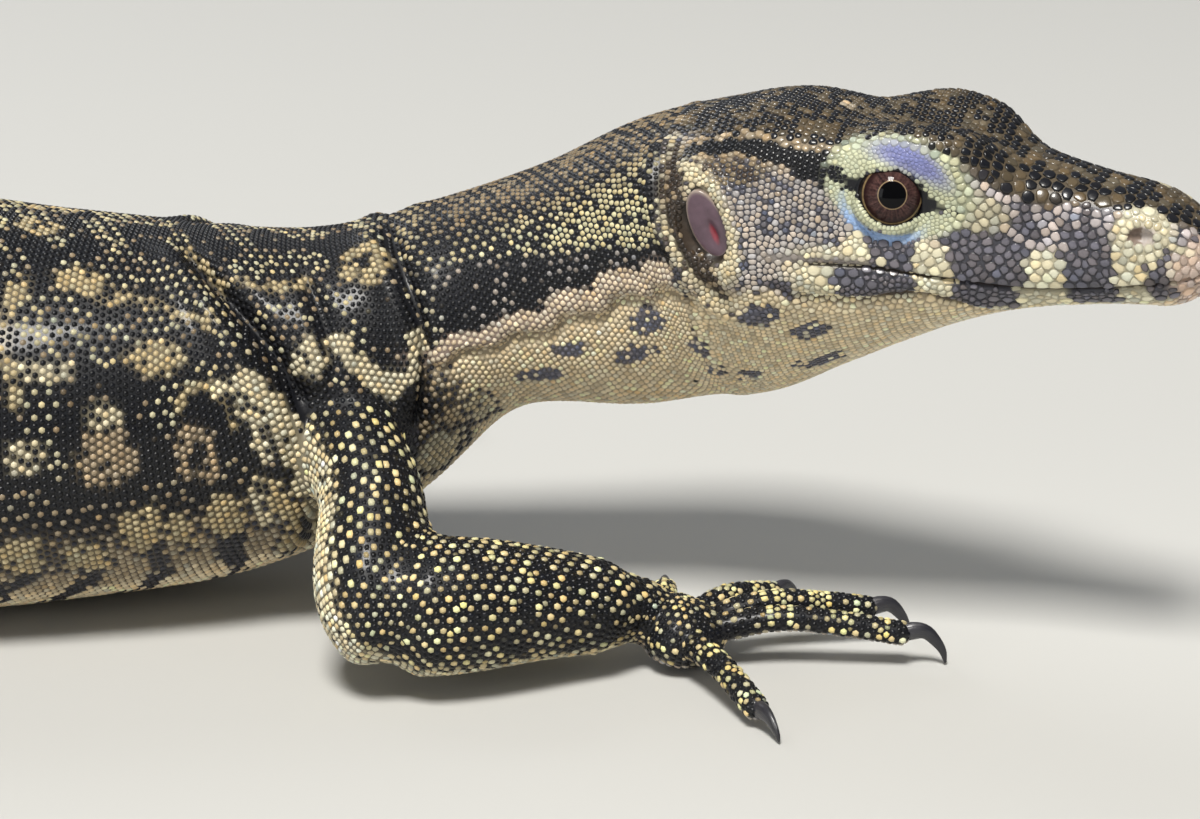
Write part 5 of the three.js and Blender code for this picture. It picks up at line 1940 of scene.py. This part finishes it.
def build_scales(name, chosen, corners, bake_places):
    """One mesh of domed scales: a sunken rim, one or two shoulders and a crown."""
    spots, out = root_spots[chosen], root_normals[chosen]
    way, left = scale_way[chosen], scale_left[chosen]
    radius, rise = scale_radius[corners][chosen], scale_rise[chosen]
    lean, bend = scale_lean[chosen], roots[chosen, 8]
    turn = evenly_round(corners)
    mean = radius.mean(axis=1)
    levels = levels_of(name, scale_is_flat[chosen, None])
    count, each = len(spots), corners * len(levels) + 1
    points, shades, local = np.empty((count, each, 3)), np.ones((count, each)), np.zeros((count, each, 2))
    for number, (share, height, shade) in enumerate(levels):
        ring = slice(number * corners, (number + 1) * corners)
        over_rim = shade > 0
        x = radius * share * np.cos(turn) + 0.1 * mean[:, None] * over_rim
        y = radius * share * np.sin(turn)
        z = height * rise[:, None] * (1 + lean[:, None] * x / mean[:, None] * over_rim)
        z = (z - bend[:, None] * y * y)[..., None] * out[:, None]
        sideways = left[:, None] * y[..., None]
        points[:, ring] = spots[:, None] + way[:, None] * x[..., None] + sideways + z
        shades[:, ring] = shade
        circle = np.column_stack([np.cos(turn), np.sin(turn)])
        local[:, ring] = circle * np.broadcast_to(share, (count, 1))[..., None]
    points[:, -1] = spots + way * (0.14 * mean)[:, None] + out * rise[:, None]
    points[..., 2] = np.maximum(points[..., 2], 0.0)
    mesh = make_mesh(name, points.reshape(-1, 3), *dome_faces(count, corners, len(levels)))
    # The tint's alpha carries that lightness, less of it on pale scales: partly the scales' own dark rims,
    # partly painted shade towards the sunken rim.
    evenness = 0.6 * scale_is_pale[chosen, None]
    tint = np.empty((count, each, 4), np.float32)
    tint[..., :3] = scale_colours[chosen, None]
    tint[..., 3] = evenness + (1 - evenness) * shades
    tint_mesh(mesh, tint)
    flat_map = (bake_places[:, None] + local * BAKED_SCALE).reshape(-1, 2)
    layer = mesh.uv_layers.new(name="OFBake")
    layer.data.foreach_set("uv", flat_map[corner_points(mesh)].astype(np.float32).ravel())
    return place_object(name, mesh)


def limb_numbers(limb_name):
    """The numbers of a limb's tubes."""
    return [i for i, name in enumerate(places.names) if name.startswith(limb_name)]


def piece_places(where, chosen):
    """Where each scale's root lies on an unwrap of the skin, for one piece of the coat."""
    table = roots[chosen]
    along, angle = table[:, 4], table[:, 5] % (2 * np.pi) / (2 * np.pi)
    if isinstance(where, str):
        members = limb_numbers(where)
        strip = np.array([members.index(int(t)) for t in table[:, 3]])
        along = (strip + along * 0.94) / len(members)
    else:
        first, last = where[0], min(where[1], TOTAL_LENGTH)
        along = (along - first) / (last - first)
    spread = 1 - 2 * BAKE_MARGIN
    return np.column_stack([BAKE_MARGIN + spread * np.clip(along, 0, 1), BAKE_MARGIN + spread * angle])


def scales_of_piece(name, where):
    """The numbers of the scales that belong to a piece of the coat."""
    if isinstance(where, str):
        return np.flatnonzero(np.isin(roots[:, 3], limb_numbers(where)))
    chosen = on_trunk & (roots[:, 4] >= where[0]) & (roots[:, 4] < where[1])
    if "head" in name:
        chosen &= (np.cos(roots[:, 5]) < 0) == name.endswith("right")
    return np.flatnonzero(chosen)


chance = draw.random(len(roots))
chance = np.where(roots[:, 9] > 0, chance * DOTS, DOTS + (1 - DOTS) * chance)
scale_colours, scale_is_pale, _ = markings(root_spots, *roots[:, 3:6].T, chance)
on_trunk = roots[:, 3] == 0
of_head = on_trunk & (roots[:, 4] < HEAD_END)
zones, _ = head_zones(root_spots[of_head])
on_lids, on_crown = np.zeros((2, len(roots)))
on_lids[of_head] = zones["lids"]
on_crown[of_head] = zones["crown"]
# The head's biggest scales are flat plates.
scale_is_flat = of_head * smooth(roots[:, 6], 1.05, 1.3) * (1 - on_crown)
unevenness = 0.16 - 0.11 * on_lids + 0.12 * ~on_trunk
scale_colours = tinted(scale_colours, unevenness[:, None], 55)
scale_way, scale_left = way_of_scales(roots, root_normals)
# A limb's pale scales are bigger than its dark ones.
brightness = np.minimum(scale_colours[:, 1] / YELLOW[1], 1)
weight = roots[:, 6] * (1 + np.where(on_trunk, 0.1, 1.05 * brightness**2 - 0.2) * scale_is_pale)
# How much of its outline each scale fills, how sharp its corners are, how high it stands,
# and how much higher its rear end is.
shrink = np.where(of_head, 0.945 + 0.025 * np.maximum(scale_is_flat, on_crown), 0.9)
sharp = np.where(of_head, 18.0, 9.0)
nearest_ten, _ = neighbours(root_spots, 10)
scale_radius = {corners: outlines(nearest_ten, weight, corners, shrink, sharp) for corners in (8, 6)}
scale_rise = np.where(of_head, (0.45 - 0.19 * scale_is_flat) * (1 - 0.5 * on_lids), 0.5)
scale_rise = scale_rise * scale_radius[8].min(axis=1)
scale_lean = np.where(of_head, 0.12 + 0.25 * on_crown, 0.3)
coat_pieces = []
for name, where, corners in COAT_PIECES:
    chosen = scales_of_piece(name, where)
    coat_pieces.append(build_scales(name, chosen, corners, piece_places(where, chosen)))


def add_skin_colours():
    """Colours the skin as the seams between its scales."""
    tube, along, angle, _ = places.find(skin_points)
    _, _, seams = markings(skin_points, tube, along, angle, np.full(len(skin_points), 0.5))
    tint = np.ones((len(skin_points), 4), np.float32)
    tint[:, :3] = tinted(seams, 0.05, 56)
    tint_mesh(skin.data, tint)


add_skin_colours()


class Value:
    """A number that varies over a surface; arithmetic on it adds Math nodes."""

    def __init__(self, paint, socket):
        self.paint, self.socket = paint, socket

    def maths(self, operation, *others):
        """Adds a Math node over this value and others."""
        node = self.paint.tree.nodes.new("ShaderNodeMath")
        node.operation = operation
        for place, term in enumerate((self, *others)):
            self.paint.connect(term, node.inputs[place])
        return Value(self.paint, node.outputs[0])

    def __add__(self, other):
        return self.maths("ADD", other)

    def __mul__(self, other):
        return self.maths("MULTIPLY", other)

    def __pow__(self, other):
        return self.maths("POWER", other)

    def __sub__(self, other):
        return self.maths("SUBTRACT", other)

    def __truediv__(self, other):
        return self.maths("DIVIDE", other)

    def __rsub__(self, other):
        return (self * -1).maths("ADD", other)

    __radd__ = __add__
    __rmul__ = __mul__

    def between(self, low, high):
        """0 below the first number and 1 above the second, smooth between them."""
        settings = {"interpolation_type": "SMOOTHSTEP"}
        sockets = {"Value": self, "From Min": low, "From Max": high}
        return self.paint.node("ShaderNodeMapRange", settings, sockets)


class Paint:
    """A procedural material, built up from the sockets of its shader."""

    def __init__(self, name, **fixed):
        self.material = bpy.data.materials.new(name)
        self.material.use_nodes = True
        self.tree = self.material.node_tree
        self.shader = self.tree.nodes["Principled BSDF"]
        for socket, value in fixed.items():
            self.shader.inputs[socket.replace("_", " ")].default_value = value

    def connect(self, term, socket):
        """Links a value to a socket, or sets the socket to a plain number or colour."""
        if isinstance(term, Value):
            self.tree.links.new(term.socket, socket)
        elif socket.type == "RGBA" and len(np.atleast_1d(term)) == 3:
            socket.default_value = (*term, 1)
        else:
            socket.default_value = term

    def node(self, kind, settings, sockets, output=0):
        """Adds a node: its settings come first, then the values or links of its sockets."""
        node = self.tree.nodes.new(kind)
        for name, value in settings.items():
            setattr(node, name, value)
        for name, term in sockets.items():
            self.connect(term, node.inputs[name])
        return Value(self, node.outputs[output])

    def attribute(self, name, output="Color"):
        """What the mesh keeps under a name."""
        return self.node("ShaderNodeAttribute", {"attribute_name": name}, {}, output)

    def place(self):
        """The place on the object, in metres."""
        return self.node("ShaderNodeTexCoord", {}, {}, "Object")

    def parts(self, vector):
        """The first two numbers of a vector."""
        first = self.node("ShaderNodeSeparateXYZ", {}, {0: vector})
        return first, Value(self, first.socket.node.outputs[1])

    def noise(self, scale, detail=2.0, place=None):
        """A smooth noise about 0.5, with so many waves to the metre."""
        where = place or self.place()
        return self.node("ShaderNodeTexNoise", {}, {"Vector": where, "Scale": scale, "Detail": detail})

    def mixed(self, one, two, share):
        """From one colour to another."""
        node = self.tree.nodes.new("ShaderNodeMix")
        node.data_type = "RGBA"
        self.connect(share, node.inputs[0])
        self.connect(one, node.inputs[6])
        self.connect(two, node.inputs[7])
        return Value(self, node.outputs[2])

    def dimmed(self, colour, factor):
        """A colour made lighter or darker."""
        return self.node("ShaderNodeVectorMath", {"operation": "SCALE"}, {0: colour, "Scale": factor})

    def finish(self, colour, roughness, height=None, depth=0.0001, strength=0.5):
        """Connects the shader; a height raises the surface by a depth in metres."""
        self.connect(colour, self.shader.inputs["Base Color"])
        self.connect(roughness, self.shader.inputs["Roughness"])
        if height is not None:
            sockets = {"Height": height, "Distance": depth, "Strength": strength}
            bump = self.node("ShaderNodeBump", {}, sockets)
            self.connect(bump, self.shader.inputs["Normal"])
        return self.material


def scale_paint(name, gloss, rim, grain_depth, coat=0.14):
    """Horny scales: dark towards their rims, partly their own colour and partly painted shade, with a fine
    grain and an uneven gloss.
    """
    paint = Paint(name, Specular_IOR_Level=0.27, Coat_Weight=coat, Coat_Roughness=0.1)
    tint, rise = paint.attribute("tint"), paint.attribute("tint", "Alpha")
    blotches, grain = paint.noise(420, 3), paint.noise(2600, 2)
    # Painted shade, partly the scales' own dark rims: the tint's alpha darkens each scale towards its sunken
    # rim, down to the share rim.
    light = (rim + (1 - rim) * rise) * (0.78 + 0.3 * blotches + 0.14 * grain)
    roughness = gloss - 0.1 + 0.2 * (1 - rise) + 0.16 * blotches
    return paint.finish(paint.dimmed(tint, light), roughness, grain + 0.6 * blotches, grain_depth, 0.35)


def iris_paint():
    """A round pupil with a thin gold ring, a red-brown iris and a gold edge to it."""
    paint = Paint("iris", Specular_IOR_Level=0.16)
    spot = paint.attribute("iris place", "Vector")
    across, upward = paint.parts(spot)
    reach = (across * across + upward * upward) ** 0.5
    ray = paint.node("ShaderNodeCombineXYZ", {}, {0: across / reach, 1: upward / reach, 2: reach * 0.35})
    fibres = paint.noise(9, 4, ray)
    flecks = paint.noise(16, 3, spot)
    streaks = (0.9 * fibres + 0.5 * flecks - 0.25).between(0.2, 0.85)
    iris = paint.mixed((0.02, 0.011, 0.012), (0.12, 0.06, 0.052), streaks)
    iris = paint.mixed(iris, (0.02, 0.008, 0.008), reach.between(0.56, 0.72))
    ring = reach.between(0.345, 0.358) * (1 - reach.between(0.366, 0.382))
    edge = reach.between(0.735, 0.755) * (1 - reach.between(0.775, 0.8))
    colour = paint.mixed(iris, (0.5, 0.38, 0.2), ring * 0.5)
    colour = paint.mixed(colour, (0.42, 0.30, 0.14), edge * (0.15 + 0.6 * fibres))
    colour = paint.mixed(colour, (0.01, 0.008, 0.008), reach.between(0.785, 0.82))
    colour = paint.mixed((0.0015, 0.0015, 0.002), colour, reach.between(0.335, 0.348))
    return paint.finish(colour, 0.04 + 0.03 * flecks)


def eardrum_paint():
    """A thin mauve skin, with a red vein at its middle and a paler rim."""
    paint = Paint("eardrum", Coat_Weight=0.5, Coat_Roughness=0.12, Specular_IOR_Level=0.5)
    spot = paint.attribute("drum place", "Vector")
    across, upward = paint.parts(spot)
    reach = (across * across + upward * upward) ** 0.5
    cloud = paint.noise(700, 4)
    from_vein = (across - 0.15) * (across - 0.15) * 5 + (upward + 0.3) * (upward + 0.3) * 2.2
    middle = 1 - from_vein.between(0.02, 0.3)
    colour = paint.mixed((0.06, 0.03, 0.045), (0.15, 0.085, 0.12), cloud)
    colour = paint.mixed(colour, (0.34, 0.015, 0.035), middle * (0.1 + 1.2 * cloud))
    colour = paint.mixed(colour, (0.30, 0.24, 0.2), reach.between(0.86, 1.0))
    return paint.finish(colour, 0.22 + 0.2 * cloud, cloud, 0.0002, 0.4)


def claw_paint():
    """Blue-black horn, streaked along its length and paler at the root."""
    paint = Paint("claw horn", Coat_Weight=0.35, Coat_Roughness=0.15, Specular_IOR_Level=0.5)
    spot = paint.attribute("claw place", "Vector")
    along, _ = paint.parts(spot)
    streaks = paint.noise(7, 3, spot)
    cloud = paint.noise(600, 3)
    colour = paint.mixed((0.03, 0.028, 0.034), (0.008, 0.008, 0.012), along.between(0.05, 0.5))
    colour = paint.mixed(colour, (0.1, 0.1, 0.12), streaks * cloud * (1 - along) * 0.8)
    return paint.finish(colour, 0.26 + 0.2 * cloud, streaks, 0.0002, 0.5)


def polar_piece(name, rings, tip, extra_name, extra):
    """A smooth shell over rings of points that end in a tip, with one attribute."""
    points, quads, caps = closed_grid(rings)
    points[-1] = tip
    mesh = make_mesh(name, points, quads, caps)
    values = np.vstack([extra.reshape(-1, 3), extra[0].mean(axis=0), extra[-1].mean(axis=0)])
    layer = mesh.attributes.new(extra_name, "FLOAT_VECTOR", "POINT")
    layer.data.foreach_set("vector", values.astype(np.float32).ravel())
    mend_faces(mesh, triangles=False)
    return place_object(name, mesh)


def build_eye(side, side_name):
    """A ball with a slight bulge in front; its iris is painted by place."""
    ahead, up, out = gaze(side)
    centre = beside_head(EYE, side)
    lift = np.linspace(np.pi - 0.05, 0.02, 56)[:, None]
    turn = evenly_round(72)[None, :]
    radius = EYE_RADIUS * (1 + CORNEA * (1 - smooth(lift, 0.25, 0.95)))
    x, y, z = np.sin(lift) * np.cos(turn), np.sin(lift) * np.sin(turn), np.cos(lift) + 0 * turn
    ray = x[..., None] * ahead + y[..., None] * up + z[..., None] * out
    rings = on_head(centre + ray * radius[..., None])
    tip = on_head(centre + out * EYE_RADIUS * (1 + CORNEA))
    extra = np.stack([x, y, z], -1)
    extra[..., :2] += (z < 0)[..., None] * 2
    return polar_piece(f"eyeball_{side_name}", rings, tip, "iris place", extra)


def build_eardrum(side, side_name):
    """A thin oval plate at the bottom of the ear's cup, dented where the vein is."""
    share = np.linspace(1, 0.02, 22)[:, None]
    turn = evenly_round(64)[None, :]
    long, tall = EAR_HALF["long"] - 0.35, EAR_HALF["tall"] - 0.35
    x, z = share * np.cos(turn), share * np.sin(turn)
    ahead = x * long * np.cos(EAR_LEAN) + z * tall * np.sin(EAR_LEAN)
    up = z * tall * np.cos(EAR_LEAN) - x * long * np.sin(EAR_LEAN)
    dent = np.exp(-(((x - 0.1) / 0.3) ** 2) - ((z + 0.25) / 0.4) ** 2)
    sag = 0.45 * np.sqrt(1 - 0.9 * share**2) - 0.5 * dent
    floor = EAR["out"] - EAR_HALF["depth"] + 1.0
    front = np.stack([ahead - EAR["back"], side * (floor + sag), up + EAR["up"]], -1)
    back = front[:1] - np.array([0, side * 0.8, 0])
    rings = on_head(np.concatenate([back, front]))
    extra = np.stack([x, z, 0 * x], -1)
    extra = np.concatenate([extra[:1], extra])
    return polar_piece(f"eardrum_{side_name}", rings, rings[-1].mean(axis=0), "drum place", extra)


def build_claw(limb, digit, name):
    """A curved claw that grows out of the end of its toe and touches down at its tip."""
    along, toe = digit_line(limb, digit)
    start = np.array(toe[3]) - along * CLAW["sunk"] + [0, 0, 0.3]
    length, floor = CLAW["length"] + CLAW["sunk"], CLAW["tip"] + 0.05
    steps = [
        (0.0, start[2], 0.75, 1.0),
        (0.24, start[2] + CLAW["arch"], 0.7, 0.97),
        (0.5, start[2] + 0.6 * CLAW["arch"], 0.52, 0.82),
        (0.75, start[2] * 0.76, 0.38, 0.62),
        (0.93, start[2] * 0.4 + floor * 0.3, 0.24, 0.4),
        (1.0, floor, 0.1, 0.15),
    ]
    line = []
    for share, height, wide, high in steps:
        spot = start + along * length * share
        line.append([spot[0], spot[1], height, CLAW["root"] * wide, CLAW["root"] * high])
    u, turn = places_along(26)[:, None], evenly_round(18)
    rings = Tube(line, 0.5).surface(u, turn[None, :])
    rings[..., 2] = np.maximum(rings[..., 2], FLOOR_GAP)
    extra = np.stack([u + 0 * turn, np.cos(turn) + 0 * u, np.sin(turn) + 0 * u], -1)
    return polar_piece(f"horn_{name}", rings, rings[-1].mean(axis=0), "claw place", extra)


def dress(piece, material, slot, *nodes):
    """Gives a piece its material, its body and the solids that it stands for."""
    piece.data.materials.clear()
    piece.data.materials.append(material)
    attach(piece, "root")
    if nodes:
        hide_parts(*nodes)


flesh = [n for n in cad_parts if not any(word in n for word in ("claw", "eye", "ear"))]
horny = scale_paint("horny scales", 0.3, 0.3, 0.00006)
head_scales = scale_paint("scales of the head", 0.3, 0.18, 0.00006, 0.34)
between = scale_paint("skin between the scales", 0.5, 0.6, 0.00012)
dress(skin, between, "scaled_skin", *flesh)
for piece in coat_pieces:
    dress(piece, head_scales if "head" in piece.name else horny, "scaled_skin")
iris, drum, horn = iris_paint(), eardrum_paint(), claw_paint()
for side, side_name in ((-1, "right"), (1, "left")):
    dress(build_eye(side, side_name), iris, "eye", f"eye_{side_name}")
    dress(build_eardrum(side, side_name), drum, "ear", f"ear_{side_name}")
for limb_name, limb in LIMBS.items():
    for i, digit in enumerate(limb["digits"]):
        claw = f"{limb_name}_claw_{i + 1}"
        dress(build_claw(limb, digit, claw), horn, "claw", claw)


def build_floor():
    """A wide pale floor."""
    mesh = bpy.data.meshes.new("floor")
    reach = 6.0
    corners = [(-reach, -reach, 0), (reach, -reach, 0), (reach, reach, 0), (-reach, reach, 0)]
    mesh.from_pydata(corners, [], [(0, 1, 2, 3)])
    floor = place_object("floor", mesh)
    floor.data.materials.append(Paint("pale floor").finish((0.55, 0.55, 0.53), 0.85))


def add_lamp(name, place, aim, size, power, tint=(1, 1, 1)):
    """A soft square lamp in metres, turned towards the point that it lights."""
    lamp = bpy.data.lights.new(name, "AREA")
    lamp.size = size
    lamp.energy = power
    lamp.color = tint
    holder = place_object(name, lamp)
    holder.location = place
    away = mathutils.Vector(aim) - mathutils.Vector(place)
    holder.rotation_euler = away.to_track_quat("-Z", "Y").to_euler()


def build_studio():
    """A dim even light from all round, and three lamps."""
    world = bpy.data.worlds.new("studio")
    world.use_nodes = True
    world.node_tree.nodes["Background"].inputs["Color"].default_value = (0.95, 0.97, 1.0, 1)
    world.node_tree.nodes["Background"].inputs["Strength"].default_value = 0.18
    bpy.context.scene.world = world
    middle = tuple(CAMERA["target"] * MM + shift)
    add_lamp("key lamp", (0.1, -1.15, 2.3), middle, 0.7, 84, (1.0, 0.97, 0.92))
    add_lamp("fill lamp", (-2.4, -2.6, 0.9), middle, 1.8, 20)
    add_lamp("back lamp", (-1.4, 2.0, 1.8), middle, 1.8, 34, (0.93, 0.96, 1.0))


def build_camera():
    """The photo's view."""
    lens = bpy.data.cameras.new("photo view")
    lens.sensor_fit = "HORIZONTAL"
    lens.sensor_width = SENSOR
    lens.lens = SENSOR * FOCAL_PIXELS / PICTURE_WIDTH
    lens.clip_start = 0.01
    camera = place_object("photo view", lens)
    lift = np.radians(CAMERA["elevation"])
    back = np.array([0, -np.cos(lift), np.sin(lift)]) * CAMERA["distance"]
    camera.location = (CAMERA["target"] + back) * MM + shift
    camera.rotation_euler = (np.pi / 2 - lift, 0, 0)
    bpy.context.scene.camera = camera
    bpy.context.scene.view_settings.view_transform = "Standard"


build_floor()
build_studio()
build_camera()
